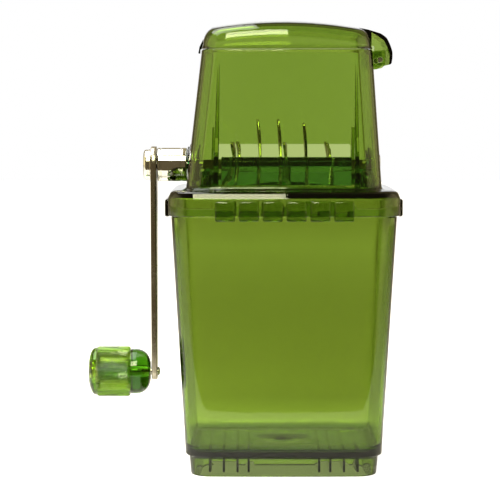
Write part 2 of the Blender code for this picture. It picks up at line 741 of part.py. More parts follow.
def build_bushes(carrier):
    """Bearing bushes in the housing's side walls."""
    left = [
        (-53.7 * MM, BUSH_BORE), (-53.7 * MM, 9.6 * MM), (-53.3 * MM, 10.0 * MM), (-52.5 * MM, 10.0 * MM),
        (-52.5 * MM, BUSH_RADIUS), (-48.2 * MM, BUSH_RADIUS), (-48.2 * MM, BUSH_BORE),
    ]
    right = [
        (52.4 * MM, BUSH_BORE), (52.4 * MM, BUSH_RADIUS), (48.6 * MM, BUSH_RADIUS), (48.6 * MM, 8.0 * MM),
        (47.2 * MM, 8.0 * MM), (47.2 * MM, BUSH_BORE),
    ]
    for name, profile in (("left_bush", left), ("right_bush", right)):
        bush = mesh_object(name, turned(profile, closed=True), carrier, green(f"{name}_plastic"))
        bush.location = (0.0, 0.0, SHAFT_Z)


def build_end_cap(axis):
    """Push-on cap that keeps the shaft's right end in its bush."""
    profile = [
        (53.9 * MM, 3.0 * MM), (53.0 * MM, 3.0 * MM), (53.0 * MM, 6.2 * MM), (54.1 * MM, 6.2 * MM),
        (54.6 * MM, 5.4 * MM),
    ]
    mesh_object("shaft_end_cap", turned(profile), axis, steel("end_cap_steel"))


# ---------------------------------------------------------------- crank

def build_crank(axis):
    """Chrome sleeve, flat arm and cap nut on the shaft's left end."""
    sleeve = [
        (-70.6 * MM, BUSH_BORE), (-70.6 * MM, 9.0 * MM), (-70.1 * MM, SLEEVE_RADIUS),
        (-54.9 * MM, SLEEVE_RADIUS), (-54.0 * MM, 8.9 * MM), (-54.0 * MM, BUSH_BORE),
    ]
    mesh_object("crank_sleeve", turned(sleeve, closed=True), axis, chrome("sleeve_chrome"))
    nut = [
        (-77.7 * MM, 2.8 * MM), (ARM_LEFT - GAP, 2.8 * MM), (ARM_LEFT - GAP, 8.6 * MM),
        (-76.6 * MM, 8.6 * MM), (-77.9 * MM, 8.3 * MM), (-78.5 * MM, 7.4 * MM),
    ]
    mesh_object("crank_cap_nut", turned(nut), axis, chrome("nut_chrome"))
    arm = mesh_object("crank_arm", arm_shape(), axis, steel("arm_steel"))
    eye = loft([square_ring(-80 * MM, SQUARE_HOLE), square_ring(-60 * MM, SQUARE_HOLE)])
    combine(arm, "DIFFERENCE", "arm_square_hole", eye, axis)
    pivot = turned([(-80 * MM, AXLE_RADIUS + GAP), (-60 * MM, AXLE_RADIUS + GAP)], steps=SMALL_STEPS)
    combine(arm, "DIFFERENCE", "arm_pivot_hole", shift(pivot, z=-CRANK_RADIUS), axis)


def arm_shape():
    """Flat bar between a large eye on the shaft and a small one on the knob's axle."""
    lean = math.asin((ARM_EYE - ARM_END) / CRANK_RADIUS)
    points = []
    for step in range(17):
        angle = -lean + (math.pi + 2 * lean) * step / 16
        points.append((ARM_EYE * math.cos(angle), ARM_EYE * math.sin(angle)))
    for step in range(9):
        angle = math.pi + lean + (math.pi - 2 * lean) * step / 8
        points.append((ARM_END * math.cos(angle), ARM_END * math.sin(angle) - CRANK_RADIUS))
    return prism(points, ARM_LEFT, ARM_RIGHT, "X")


def build_axle(axis):
    """Rivet that carries the knob, domed on the arm's inner side."""
    profile = [
        (-69.6 * MM, 1.0 * MM), (-69.8 * MM, 1.9 * MM), (-70.3 * MM, 2.5 * MM), (-70.7 * MM, 2.6 * MM),
        (-70.7 * MM, AXLE_RADIUS), (-104.3 * MM, AXLE_RADIUS), (-104.3 * MM, 4.0 * MM),
        (-105.7 * MM, 4.0 * MM), (-105.9 * MM, 3.6 * MM),
    ]
    axle = mesh_object("knob_axle", turned(profile, steps=SMALL_STEPS), axis, steel("axle_steel"))
    axle.location = (0.0, 0.0, -CRANK_RADIUS)


def build_knob(axis):
    """Knob that turns freely on the axle: core with a domed neck, fluted grip and end cap."""
    bore = AXLE_RADIUS + GAP
    dome = []
    for degrees in (8, 24, 40, 56, 73, 90):
        angle = math.radians(degrees)
        dome.append((-82.8 * MM + 7.7 * MM * math.cos(angle), 5.0 * MM + 7.7 * MM * math.sin(angle)))
    core = [(-74.9 * MM, bore), (-74.9 * MM, 5.6 * MM), *dome, (-86.0 * MM, NECK_RADIUS),
            (-86.0 * MM, 9.0 * MM), (-104.0 * MM, 9.0 * MM), (-104.0 * MM, bore)]
    mesh_object("knob_core", turned(core, closed=True), axis, green("core_plastic"))
    mesh_object("knob_grip", grip_shape(), axis, green("grip_plastic"))
    end = []
    reach = 4.8 * MM
    for step in range(7):
        part = math.sin(math.pi / 2 * step / 6.6)
        end.append((-105.3 * MM - reach * part, 13.5 * MM * (1 - part ** 2.5) ** 0.4))
    end.append((-110.1 * MM, 2.0 * MM))
    cap = [(-106.3 * MM, 4.5 * MM), (-105.3 * MM, 4.5 * MM), *end]
    mesh_object("knob_end_cap", turned(cap), axis, green("knob_cap_plastic"))


def grip_shape():
    """Fluted tube around the knob's core."""
    steps = FLUTES * 2
    low = -105.0 * MM
    high = -86.3 * MM

    def ring(x, radius, depth):
        points = []
        for i in range(steps):
            angle = 2 * math.pi * i / steps
            reach = radius - (depth if i % 2 else 0.0)
            points.append((x, reach * math.cos(angle), reach * math.sin(angle)))
        return points

    rings = [
        ring(low, KNOB_RADIUS - 0.4 * MM, 0.0), ring(low + 0.5 * MM, KNOB_RADIUS, FLUTE_DEPTH),
        ring(high - 1.2 * MM, KNOB_RADIUS, FLUTE_DEPTH), ring(high, KNOB_RADIUS - 0.9 * MM, 0.0),
        ring(high, 9.4 * MM, 0.0), ring(low, 9.4 * MM, 0.0),
    ]
    return loft(rings, closed=True)


# ---------------------------------------------------------------- assembly

def main():
    """Build every part on its carrier."""
    clear_scene()
    base = empty("base_frame", (BODY_X, 0.0, 0.0))
    lift = empty("housing_lift", (0.0, 0.0, 0.0), base)
    lid_hinge = empty("lid_hinge", (PIN_X, 0.0, PIN_Z), lift)
    shaft_axis = empty("shaft_axis", (0.0, 0.0, SHAFT_Z), lift)
    knob_axis = empty("knob_axis", (0.0, 0.0, -CRANK_RADIUS), shaft_axis)
    build_jug(base)
    build_housing(lift)
    build_lid(lid_hinge)
    build_pin(lift)
    front = build_breaker("front_breaker", -1, BAR_TOP, lift)
    add_bars(front, lift)
    build_breaker("rear_breaker", 1, BREAKER_TOP, lift)
    build_screws(lift)
    build_bushes(lift)
    build_shaft(shaft_axis)
    build_blades(shaft_axis)
    build_end_cap(shaft_axis)
    build_crank(shaft_axis)
    build_axle(shaft_axis)
    build_knob(knob_axis)


main()
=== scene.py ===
"""Looks of the hand-cranked ice crusher: fine meshes, see-through green plastic, bright steel and a studio.

Every length is in metres, in the CAD's own frame.  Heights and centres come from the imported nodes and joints;
the other sizes are the design's wall, fillet and edge sizes.
"""

import json
import math

import bmesh
import bpy
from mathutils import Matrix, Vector


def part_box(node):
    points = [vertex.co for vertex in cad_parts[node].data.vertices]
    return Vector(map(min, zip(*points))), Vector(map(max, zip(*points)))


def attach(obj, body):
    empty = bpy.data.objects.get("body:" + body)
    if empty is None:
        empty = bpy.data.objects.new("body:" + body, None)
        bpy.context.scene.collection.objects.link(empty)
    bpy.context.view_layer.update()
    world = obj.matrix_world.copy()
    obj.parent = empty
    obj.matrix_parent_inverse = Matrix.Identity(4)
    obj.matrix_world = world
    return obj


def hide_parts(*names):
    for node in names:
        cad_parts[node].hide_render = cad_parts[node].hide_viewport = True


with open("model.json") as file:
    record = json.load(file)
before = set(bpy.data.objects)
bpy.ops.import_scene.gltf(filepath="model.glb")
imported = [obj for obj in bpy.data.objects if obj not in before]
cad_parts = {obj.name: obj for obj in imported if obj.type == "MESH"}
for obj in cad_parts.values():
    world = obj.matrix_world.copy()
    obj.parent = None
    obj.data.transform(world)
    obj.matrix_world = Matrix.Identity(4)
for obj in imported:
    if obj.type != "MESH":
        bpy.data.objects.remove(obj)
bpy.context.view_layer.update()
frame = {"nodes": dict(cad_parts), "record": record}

MM = 0.001

# ---------------- places taken from the frame

JOINTS = {joint["name"]: joint for joint in frame["record"]["behaviour"]["joints"]}
JUG_LOW, JUG_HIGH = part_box("container")
HOUSING_LOW, HOUSING_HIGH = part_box("housing")
BODY_X = (JUG_LOW.x + JUG_HIGH.x) / 2
SHAFT_Z = JOINTS["crank"]["pos_m"][2]
KNOB_Z = JOINTS["knob_spin"]["pos_m"][2]
PIN_X = JOINTS["lid_hinge"]["pos_m"][0] - BODY_X
PIN_Z = JOINTS["lid_hinge"]["pos_m"][2]
JUG_TOP = JUG_HIGH.z
HOPPER_TOP = HOUSING_HIGH.z
GRIP_BOTTOM = HOUSING_LOW.z
GRIP_REACH = HOUSING_HIGH.x - BODY_X

# ---------------- design sizes

GAP = 0.3 * MM
DEPTH_RATIO = 0.88
CORNER_RADIUS = 13 * MM
CORNER_STEPS = 14
SIDE_POINTS = 9
BOW = 1.2 * MM
ROUND_STEPS = 96
SMALL_STEPS = 32
SHARP_ANGLE = 38  # degrees; sharper edges stay crisp in the shading
SMALL_HOLE = 1.8 * MM  # holes of the hinge pin and of the breakers' screws

FOOT_TOP = 10.5 * MM
JUG_SLOPE = (62.0 - 54.8) / (139.0 - 10.5)  # growth of the half width over the rise, both in mm
JUG_SHOULDER = JUG_TOP - 10.2 * MM
BASE_HALF = (JUG_HIGH.x - JUG_LOW.x) / 2 - JUG_SLOPE * (JUG_SHOULDER - FOOT_TOP)
FOOT_INSET = 2.4 * MM
FOOT_WALL = 2.6 * MM
FLOOR_TOP = 13.5 * MM
WALL = 2.6 * MM
RIM_INSET = 1.3 * MM
FOOT_RIB = 1.2 * MM
FOOT_RIB_PLACES = (19.3, 25.4, 32.9, 40.5)
GATE_RADIUS = 5.8 * MM

COLLAR_BOTTOM = JUG_TOP - 9.6 * MM
COLLAR_TOP = JUG_TOP + 4.3 * MM
DECK_BOTTOM = JUG_TOP + GAP
COLLAR_WALL = 2.1 * MM
RIM_CLEARANCE = 0.35 * MM
COLLAR_SHOULDER = ((4.4, 0.0), (4.1, 0.08), (1.5, 1.2), (1.1, 1.5), (0.6, 2.3), (0.3, 3.1), (0.08, 4.4))
GRIP_TOP = JUG_TOP - 1.1 * MM
GRIP_EDGE = 1.0 * MM
SIDE_GRIP_BOTTOM = GRIP_BOTTOM + 1.3 * MM
GRIP_WIDTH = 10.7 * MM
GRIP_PITCH = 12.8 * MM
FRONT_GRIPS = 6
SIDE_GRIPS = 5

HOPPER_BASE = COLLAR_TOP + 2.0 * MM
HOPPER_HALF = 54.0 * MM
HOPPER_REF_Z = 160.0 * MM
HOPPER_SLOPE = 0.0919
HOPPER_LEAN = 0.0237
HOPPER_WALL = 2.5 * MM
LEDGE_TOP = COLLAR_TOP - 0.5 * MM
THROAT_HALF_X = 40.0 * MM
THROAT_HALF_Y = 28.5 * MM
THROAT_CORNER = 5 * MM
BREAKER_X = 1.4 * MM
BREAKER_HALF = 35.6 * MM
BREAKER_NEAR = 29.2 * MM
BREAKER_FAR = 31.4 * MM
COLUMN_RADIUS = 3.5 * MM
BUSH_HOLE = 6.3 * MM
LEFT_BOSS = 11.5 * MM
RIGHT_BOSS = 9.5 * MM
SLOT = ((-38.8 * MM, 171.5 * MM), (39.2 * MM, 180.2 * MM))
EAR_INNER = 14.7 * MM
EAR_OUTER = 17.7 * MM
# Guide rails, mm: side, left and right at the foot, left and right at the top, top height, wall there.
RAILS = (
    (-1, -38.9, -35.7, -36.0, -34.9, 225.0, 40.1),
    (-1, 38.1, 41.0, 38.2, 39.3, 225.0, 40.1),
    (1, -40.9, -39.1, -40.9, -39.1, 190.0, 42.9),
    (1, 39.5, 41.3, 39.5, 41.3, 190.0, 42.9),
)
RAIL_FACE = 38.7 * MM
RAIL_FOOT_Y = 45.9 * MM

LID_BOTTOM = HOPPER_TOP + GAP
LID_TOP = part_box("lid")[1].z
LID_ARCH_X = 224 * MM
LID_ARCH_Y = 320 * MM
LID_FILLET_OUT = 6.5 * MM
LID_FILLET_UP = 8.0 * MM
LID_WALL = 2.2 * MM
LIP_HALF = 13 * MM
COVER_SKIN = 1.5 * MM
COVER_HALF = 20 * MM
COVER_HOLLOW_HALF = 18 * MM
COVER_HOLLOW_START = 48.5 * MM

BLADE_TIP = 25.4 * MM
BLADE_HUB = 9.0 * MM
BLADE_THICKNESS = 1.4 * MM
BLADE_BEND = 1.5 * MM
BLADE_GRIND = 0.3 * MM
BLADE_TURNS = (62, -62, 0, 4, 62, 24, -62)  # degrees about the shaft, from left to right
SQUARE_HOLE = 2.9 * MM
SHAFT_HOLE = 2.9 * MM
# Bush profiles, mm: depth from the outer end, radius.
LEFT_BUSH = ((0.0, 2.9), (0.0, 9.3), (0.25, 9.85), (0.6, 10.0), (1.0, 10.0), (1.2, 9.8), (1.2, 6.0),
             (5.2, 6.0), (5.5, 5.7), (5.5, 2.9))
RIGHT_BUSH = ((0.0, 2.9), (0.0, 5.6), (0.4, 6.0), (3.8, 6.0), (3.8, 7.8), (4.0, 8.0), (5.0, 8.0), (5.2, 7.7),
              (5.2, 2.9))

CRANK_RADIUS = SHAFT_Z - KNOB_Z
ARM_EYE = 10.2 * MM
ARM_END = 4.8 * MM
AXLE_BORE = 2.3 * MM
KNOB_RADIUS = 14.1 * MM
NECK_RADIUS = 12.7 * MM
SPIGOT_RADIUS = 9.0 * MM
DOME_RADIUS = 7.7 * MM
CAP_RADIUS = 13.5 * MM
FLUTES = 96
FLUTE_DEPTH = 0.3 * MM

# ---------------- studio sizes and colours

CAMERA_DISTANCE = 1.15
CAMERA_HEIGHT = 0.206
CAMERA_LEFT = 18.6 * MM
CAMERA_PITCH = 4.21  # degrees below level
CAMERA_LENS = 146.9  # focal length on a 36 mm sensor
FLOOR_FRONT = -0.19
FLOOR_BACK = 4.0
FLOOR_SIDE = 3.0
FLOOR_COLOUR = (0.93, 0.91, 0.87)
# The floor's glow: share of the way to the back, strength.
FLOOR_GLOW = ((0.013, 0.34), (0.027, 0.85), (0.048, 0.38), (0.062, 0.10), (0.12, 0.03), (0.17, 0.09),
              (0.22, 0.18), (0.32, 0.40), (0.55, 0.80))
WHITE = (1.0, 1.0, 1.0)
TAN_ROOM = (0.36, 0.30, 0.15)
DIM_FRONT = (0.12, 0.095, 0.05)
CREAM_WALL = (1.15, 0.98, 0.52)
CREAM_LIGHT = (1.0, 1.0, 0.62)


# ---------------- mesh helpers

def loft(rings, closed=False):
    """A skin through rings of equal length: a closed tube of rings, or one capped at both ends."""
    shape = bmesh.new()
    made = [[shape.verts.new(point) for point in ring] for ring in rings]
    pairs = list(zip(made, made[1:]))
    if closed:
        pairs.append((made[-1], made[0]))
    for low, high in pairs:
        for i in range(len(low)):
            j = (i + 1) % len(low)
            shape.faces.new((low[i], low[j], high[j], high[i]))
    if not closed:
        shape.faces.new(made[0])
        shape.faces.new(made[-1])
    return shape


def on_axis(axis):
    """How a (place along the axis, across, across) triple lies in space."""
    return {
        "X": lambda t, a, b: (t, a, b),
        "Y": lambda t, a, b: (a, t, b),
        "Z": lambda t, a, b: (a, b, t),
    }[axis]


def turned(profile, axis="X", steps=ROUND_STEPS, closed=False):
    """A profile of (place along the axis, radius) points, spun about that axis."""
    place = on_axis(axis)
    rings = []
    for along, radius in profile:
        angles = [2 * math.pi * i / steps for i in range(steps)]
        rings.append([place(along, radius * math.cos(a), radius * math.sin(a)) for a in angles])
    return loft(rings, closed)


def rod(low, high, radius, axis="X", steps=ROUND_STEPS):
    """A plain round bar between two places on an axis."""
    return turned([(low, radius), (high, radius)], axis, steps)


def prism(outline, low, high, axis):
    """An outline extruded from low to high along an axis."""
    place = on_axis(axis)
    return loft([[place(level, a, b) for a, b in outline] for level in (low, high)])


def rounded(outline, radius):
    """An outline whose corners are replaced by short arcs, by cutting each corner with a smooth curve."""
    steps = 4
    points = []
    count = len(outline)
    for i in range(count):
        here = Vector(outline[i])
        before = Vector(outline[i - 1]) - here
        after = Vector(outline[(i + 1) % count]) - here
        cut = min(radius, before.length * 0.45, after.length * 0.45)
        start = here + before.normalized() * cut
        end = here + after.normalized() * cut
        for step in range(steps + 1):
            t = step / steps
            point = start * (1 - t) ** 2 + here * 2 * t * (1 - t) + end * t ** 2
            points.append((point.x, point.y))
    return points


def soft_box(low, high, radius, steps=3):
    """A box with rounded edges."""
    shape = bmesh.new()
    bmesh.ops.create_cube(shape, size=1.0)
    for vert in shape.verts:
        for k in range(3):
            vert.co[k] = high[k] if vert.co[k] > 0 else low[k]
    bmesh.ops.bevel(shape, geom=shape.edges[:], offset=radius, segments=steps, profile=0.5, affect="EDGES")
    return shape


def shift(shape, x=0.0, y=0.0, z=0.0):
    """Move a bmesh."""
    bmesh.ops.translate(shape, verts=shape.verts[:], vec=(x, y, z))
    return shape


def join(shapes):
    """Put several separate shapes in one bmesh."""
    whole = bmesh.new()
    for shape in shapes:
        part = bpy.data.meshes.new("joined")
        shape.to_mesh(part)
        shape.free()
        whole.from_mesh(part)
        bpy.data.meshes.remove(part)
    return whole


def arc(start, end, steps, rise="first"):
    """Points of a quarter ellipse from start to end, leaving along the first or the second coordinate."""
    points = []
    for step in range(steps + 1):
        angle = math.pi / 2 * step / steps
        quick, slow = math.sin(angle), 1 - math.cos(angle)
        a, b = (quick, slow) if rise == "first" else (slow, quick)
        points.append((start[0] + (end[0] - start[0]) * a, start[1] + (end[1] - start[1]) * b))
    return points


def mesh_from(name, shape):
    """A mesh whose faces point outwards."""
    bmesh.ops.recalc_face_normals(shape, faces=shape.faces[:])
    mesh = bpy.data.meshes.new(name)
    shape.to_mesh(mesh)
    shape.free()
    return mesh


def piece(name, shape, paint, body, nodes, welds=(), cuts=()):
    """One visible piece: welded and cut by Booleans, shaded smooth, painted and set on its body."""
    made = bpy.data.objects.new(name, mesh_from(name, shape))
    bpy.context.collection.objects.link(made)
    tools = []
    for operation, shapes in (("UNION", welds), ("DIFFERENCE", cuts)):
        for tool_shape in shapes:
            tool = bpy.data.objects.new("tool", mesh_from("tool", tool_shape))
            bpy.context.collection.objects.link(tool)
            step = made.modifiers.new("step", "BOOLEAN")
            step.operation = operation
            step.object = tool
            step.solver = "EXACT"
            tools.append(tool)
    if tools:
        bpy.context.view_layer.update()
        graph = bpy.context.evaluated_depsgraph_get()
        applied = bpy.data.meshes.new_from_object(made.evaluated_get(graph))
        made.modifiers.clear()
        made.data = applied
        for tool in tools:
            bpy.data.objects.remove(tool, do_unlink=True)
    made.data.name = name
    made.data.shade_smooth()
    made.data.set_sharp_from_angle(angle=math.radians(SHARP_ANGLE))
    made.data.materials.clear()
    made.data.materials.append(paint)
    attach(made, body)
    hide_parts(*nodes)


# ---------------- materials

def new_material(name):
    """An empty node material, its Principled shader and its node tree."""
    made = bpy.data.materials.new(name)
    made.use_nodes = True
    tree = made.node_tree
    return made, tree, tree.nodes["Principled BSDF"]


def set_inputs(node, values):
    """Give a node's sockets their values, by name."""
    for name, value in values.items():
        node.inputs[name].default_value = value


def noise(tree, scale, detail, stretch=(1.0, 1.0, 1.0)):
    """Noise over the object's own coordinates, stretched along the axes."""
    coords = tree.nodes.new("ShaderNodeTexCoord")
    mapping = tree.nodes.new("ShaderNodeMapping")
    mapping.inputs["Scale"].default_value = stretch
    texture = tree.nodes.new("ShaderNodeTexNoise")
    set_inputs(texture, {"Scale": scale, "Detail": detail, "Roughness": 0.55})
    tree.links.new(coords.outputs["Object"], mapping.inputs["Vector"])
    tree.links.new(mapping.outputs["Vector"], texture.inputs["Vector"])
    return texture.outputs["Fac"]


def spread(tree, value, low, high, start=0.3, end=0.7):
    """Map a noise value to a range."""
    node = tree.nodes.new("ShaderNodeMapRange")
    set_inputs(node, {"From Min": start, "From Max": end, "To Min": low, "To Max": high})
    tree.links.new(value, node.inputs["Value"])
    return node.outputs["Result"]


def two_tone(tree, value, first, second):
    """A colour between two, by a noise value."""
    ramp = tree.nodes.new("ShaderNodeValToRGB")
    for element, place, colour in zip(ramp.color_ramp.elements, (0.35, 0.65), (first, second)):
        element.position = place
        element.color = (*colour, 1.0)
    tree.links.new(value, ramp.inputs["Fac"])
    return ramp.outputs["Color"]


def bump(tree, shader, layers):
    """A chain of bumps, each a (height, strength, distance) layer."""
    last = None
    for height, strength, distance in layers:
        node = tree.nodes.new("ShaderNodeBump")
        set_inputs(node, {"Strength": strength, "Distance": distance})
        tree.links.new(height, node.inputs["Height"])
        if last:
            tree.links.new(last, node.inputs["Normal"])
        last = node.outputs["Normal"]
    tree.links.new(last, shader.inputs["Normal"])


def clear_plastic(name, tint, density, haze=(0.012, 0.05)):
    """Moulded plastic, tinted by its thickness, with faint flow waves, smudges and fine scratches."""
    made, tree, shader = new_material(name)
    set_inputs(shader, {"Base Color": (*WHITE, 1.0), "Transmission Weight": 1.0, "IOR": 1.49})
    smudge = noise(tree, 55, 4)
    tree.links.new(spread(tree, smudge, haze[0], haze[1], 0.42, 0.75), shader.inputs["Roughness"])
    flow = noise(tree, 26, 2, (1.0, 1.0, 0.35))
    scratch = noise(tree, 900, 2, (1.0, 1.0, 0.06))
    bump(tree, shader, [(flow, 0.08, 1.2 * MM), (scratch, 0.03, 0.05 * MM)])
    inside = tree.nodes.new("ShaderNodeVolumeAbsorption")
    set_inputs(inside, {"Color": (*tint, 1.0), "Density": density})
    tree.links.new(inside.outputs["Volume"], tree.nodes["Material Output"].inputs["Volume"])
    return made


def metal(name, light, dark, roughness, grain, stretch, relief, along=0.0):
    """Steel with a grain that varies its tone and roughness, and fine tool marks."""
    made, tree, shader = new_material(name)
    set_inputs(shader, {"Metallic": 1.0, "Anisotropic": along})
    tone = noise(tree, grain, 5, stretch)
    patch = noise(tree, grain * 0.12, 3)
    tree.links.new(two_tone(tree, tone, dark, light), shader.inputs["Base Color"])
    tree.links.new(spread(tree, patch, roughness[0], roughness[1]), shader.inputs["Roughness"])
    bump(tree, shader, [(tone, relief, 0.06 * MM)])
    return made


def make_materials():
    """Every finish on the object."""
    return {
        "body": clear_plastic("green_body", (0.53, 0.669, 0.0), 680),
        "breaker": clear_plastic("green_breaker", (0.15, 0.58, 0.35), 400, haze=(0.02, 0.07)),
        "knob": clear_plastic("green_knob", (0.62, 0.78, 0.0), 250, haze=(0.05, 0.10)),
        "core": clear_plastic("green_core", (0.42, 0.68, 0.0), 260, haze=(0.03, 0.08)),
        "chrome": metal("plated_chrome", (0.86, 0.84, 0.80), (0.80, 0.78, 0.73), (0.03, 0.09), 700,
                        (1.0, 1.0, 1.0), 0.02),
        "steel": metal("stamped_steel", (0.72, 0.69, 0.62), (0.52, 0.49, 0.42), (0.16, 0.34), 420,
                       (1.0, 1.0, 0.15), 0.10, 0.3),
        "arm": metal("arm_steel", (0.58, 0.54, 0.46), (0.44, 0.39, 0.31), (0.14, 0.30), 380,
                     (1.0, 1.0, 0.05), 0.10, 0.4),
        "shaft": metal("turned_steel", (0.66, 0.64, 0.60), (0.50, 0.48, 0.44), (0.20, 0.36), 500,
                       (0.1, 1.0, 1.0), 0.10),
    }


# ---------------- plan sections

def section(half_x, half_y, inset, z, corner=CORNER_RADIUS, lean=0.0, bow=BOW):
    """A rounded rectangle at height z, inset from its nominal size, whose sides bulge by the bow."""
    wide = half_x - inset
    deep = half_y - inset
    radius = max(corner - inset, 1 * MM)
    points = []
    for quarter in range(4):
        side_x = 1 if quarter in (0, 3) else -1
        side_y = 1 if quarter in (0, 1) else -1
        for step in range(CORNER_STEPS + 1):
            angle = math.pi / 2 * (quarter + step / CORNER_STEPS)
            x = side_x * (wide - radius) + radius * math.cos(angle)
            y = side_y * (deep - radius) + radius * math.sin(angle)
            points.append((x, y))
        ahead = math.pi / 2 * (quarter + 1)
        start = points[-1]
        along = 2 * ((wide if quarter % 2 == 0 else deep) - radius)
        for step in range(1, SIDE_POINTS + 1):
            part = along * step / (SIDE_POINTS + 1)
            points.append((start[0] - part * math.sin(ahead), start[1] + part * math.cos(ahead)))
    bowed = []
    for x, y in points:
        out_x = x * (1 - bow / half_x * (y / half_y) ** 2)
        out_y = y * (1 - bow / half_y * (x / half_x) ** 2)
        bowed.append((out_x + lean + BODY_X, out_y, z))
    return bowed


def blend_rings(first, second, share):
    """A ring part of the way between two rings of equal length."""
    return [tuple(Vector(a).lerp(Vector(b), share)) for a, b in zip(first, second)]


def disc_ring(like, radius, z):
    """A circle about the jug's middle whose points lie in the same directions as those of another ring."""
    points = []
    for x, y, _ in like:
        angle = math.atan2(y, x - BODY_X)
        points.append((BODY_X + radius * math.cos(angle), radius * math.sin(angle), z))
    return points


def jug_ring(z, inset):
    """The jug's plan at height z."""
    half = BASE_HALF + JUG_SLOPE * (z - FOOT_TOP)
    return section(half, DEPTH_RATIO * half, inset, z)


def collar_ring(z, inset):
    """The collar's plan, a clearance outside the jug's rim, at height z."""
    half = BASE_HALF + JUG_SLOPE * (JUG_TOP - FOOT_TOP)
    out = RIM_INSET - RIM_CLEARANCE - COLLAR_WALL
    return section(half - out, DEPTH_RATIO * half - out, inset, z, corner=CORNER_RADIUS - out)


def hopper_size(z):
    """Half width, half depth and sideways lean of the hopper's outside at height z."""
    half = HOPPER_HALF - HOPPER_SLOPE * (z - HOPPER_REF_Z)
    return half, DEPTH_RATIO * half, HOPPER_LEAN * (z - HOPPER_REF_Z)


def hopper_ring(z, inset):
    """The hopper's plan at height z."""
    half_x, half_y, lean = hopper_size(z)
    return section(half_x, half_y, inset, z, lean=lean)


def levels(low, high, inset, count):
    """Evenly spaced (height, inset) pairs, for a long straight wall."""
    return [(low + (high - low) * i / count, inset) for i in range(1, count)]


# ---------------- jug

def foot_ribs():
    """Stiffening ribs under the floor: four from front to back on each side."""
    half_y = DEPTH_RATIO * BASE_HALF - FOOT_INSET - FOOT_WALL / 2
    top = (FOOT_TOP + FLOOR_TOP) / 2
    ribs = []
    for side in (-1, 1):
        for place in FOOT_RIB_PLACES:
            x = BODY_X + side * place * MM
            reach = half_y if place < FOOT_RIB_PLACES[-1] else half_y - 4 * MM
            low = (x - FOOT_RIB / 2, -reach, 2.5 * MM)
            high = (x + FOOT_RIB / 2, reach, top)
            ribs.append(soft_box(low, high, 0.2 * MM, 2))
    return join(ribs)


def build_jug(paint):
    """Jug with a hollow foot ring, filleted base, stepped rim, rounded inner corners and a gate mark."""
    inner = FOOT_INSET + FOOT_WALL
    profile = [(FOOT_TOP, inner + 1.2 * MM)]
    profile += arc((FOOT_TOP, inner + 1.0 * MM), (FOOT_TOP - 1.2 * MM, inner), 3, "second")
    profile += [(0.5 * MM, inner), (0.1 * MM, inner - 0.15 * MM), (0.0, inner - 0.5 * MM)]
    profile += arc((0.0, FOOT_INSET + 0.9 * MM), (0.9 * MM, FOOT_INSET), 4, "second")
    profile += [(FOOT_TOP - 1.0 * MM, FOOT_INSET - 0.3 * MM)]
    profile += arc((FOOT_TOP - 0.3 * MM, FOOT_INSET - 0.35 * MM), (FOOT_TOP + 0.4 * MM, 1.1 * MM), 3)
    profile += arc((FOOT_TOP + 0.45 * MM, 0.9 * MM), (FOOT_TOP + 1.9 * MM, 0.0), 6, "second")
    profile += levels(FOOT_TOP + 1.9 * MM, JUG_SHOULDER, 0.0, 9)
    profile += arc((JUG_SHOULDER - 0.3 * MM, 0.0), (JUG_SHOULDER, 0.3 * MM), 3)
    profile += [(JUG_SHOULDER + 0.1 * MM, RIM_INSET - 0.2 * MM), (JUG_SHOULDER + GAP, RIM_INSET)]
    profile += arc((JUG_TOP - 0.6 * MM, RIM_INSET), (JUG_TOP, RIM_INSET + 0.6 * MM), 4)
    profile += arc((JUG_TOP, WALL - 0.5 * MM), (JUG_TOP - 0.5 * MM, WALL), 4, "second")
    profile += levels(JUG_TOP - 0.5 * MM, FLOOR_TOP + 5 * MM, WALL, 9)
    profile += arc((FLOOR_TOP + 5 * MM, WALL), (FLOOR_TOP, WALL + 4.5 * MM), 8)
    rings = [jug_ring(z, inset) for z, inset in profile]
    edge = rings[-1]
    for share in (0.25, 0.5, 0.75):
        disc = disc_ring(edge, GATE_RADIUS + 2 * MM, FLOOR_TOP)
        rings.append(blend_rings(edge, disc, share))
    rings.append(disc_ring(edge, GATE_RADIUS, FLOOR_TOP))
    for radius, dip in ((0.86, 0.25), (0.7, 0.7), (0.45, 0.95), (0.2, 1.05)):
        rings.append(disc_ring(edge, GATE_RADIUS * radius, FLOOR_TOP - dip * MM))
    piece("jug", loft(rings), paint, "container", ["container"], welds=[foot_ribs()])


# ---------------- housing

def grip_blocks():
    """The raised finger grips around the collar."""
    half = BASE_HALF + JUG_SLOPE * (JUG_TOP - FOOT_TOP)
    jug_front = DEPTH_RATIO * half
    blocks = []
    for number in range(FRONT_GRIPS):
        middle = (number - (FRONT_GRIPS - 1) / 2) * GRIP_PITCH
        retreat = BOW * (middle / half) ** 2
        near = jug_front + 0.3 * MM - retreat
        far = near + 3.3 * MM
        for side in (-1, 1):
            low_y, high_y = sorted((side * near, side * far))
            low = (BODY_X + middle - GRIP_WIDTH / 2, low_y, GRIP_BOTTOM)
            high = (BODY_X + middle + GRIP_WIDTH / 2, high_y, GRIP_TOP)
            blocks.append(soft_box(low, high, GRIP_EDGE))
    for number in range(SIDE_GRIPS):
        middle = (number - (SIDE_GRIPS - 1) / 2) * GRIP_PITCH
        near = half + 0.3 * MM - BOW * (middle / jug_front) ** 2
        for side in (-1, 1):
            low_x, high_x = sorted((side * near, side * GRIP_REACH))
            low = (BODY_X + low_x, middle - GRIP_WIDTH / 2, SIDE_GRIP_BOTTOM)
            high = (BODY_X + high_x, middle + GRIP_WIDTH / 2, GRIP_TOP)
            blocks.append(soft_box(low, high, GRIP_EDGE))
    return join(blocks)


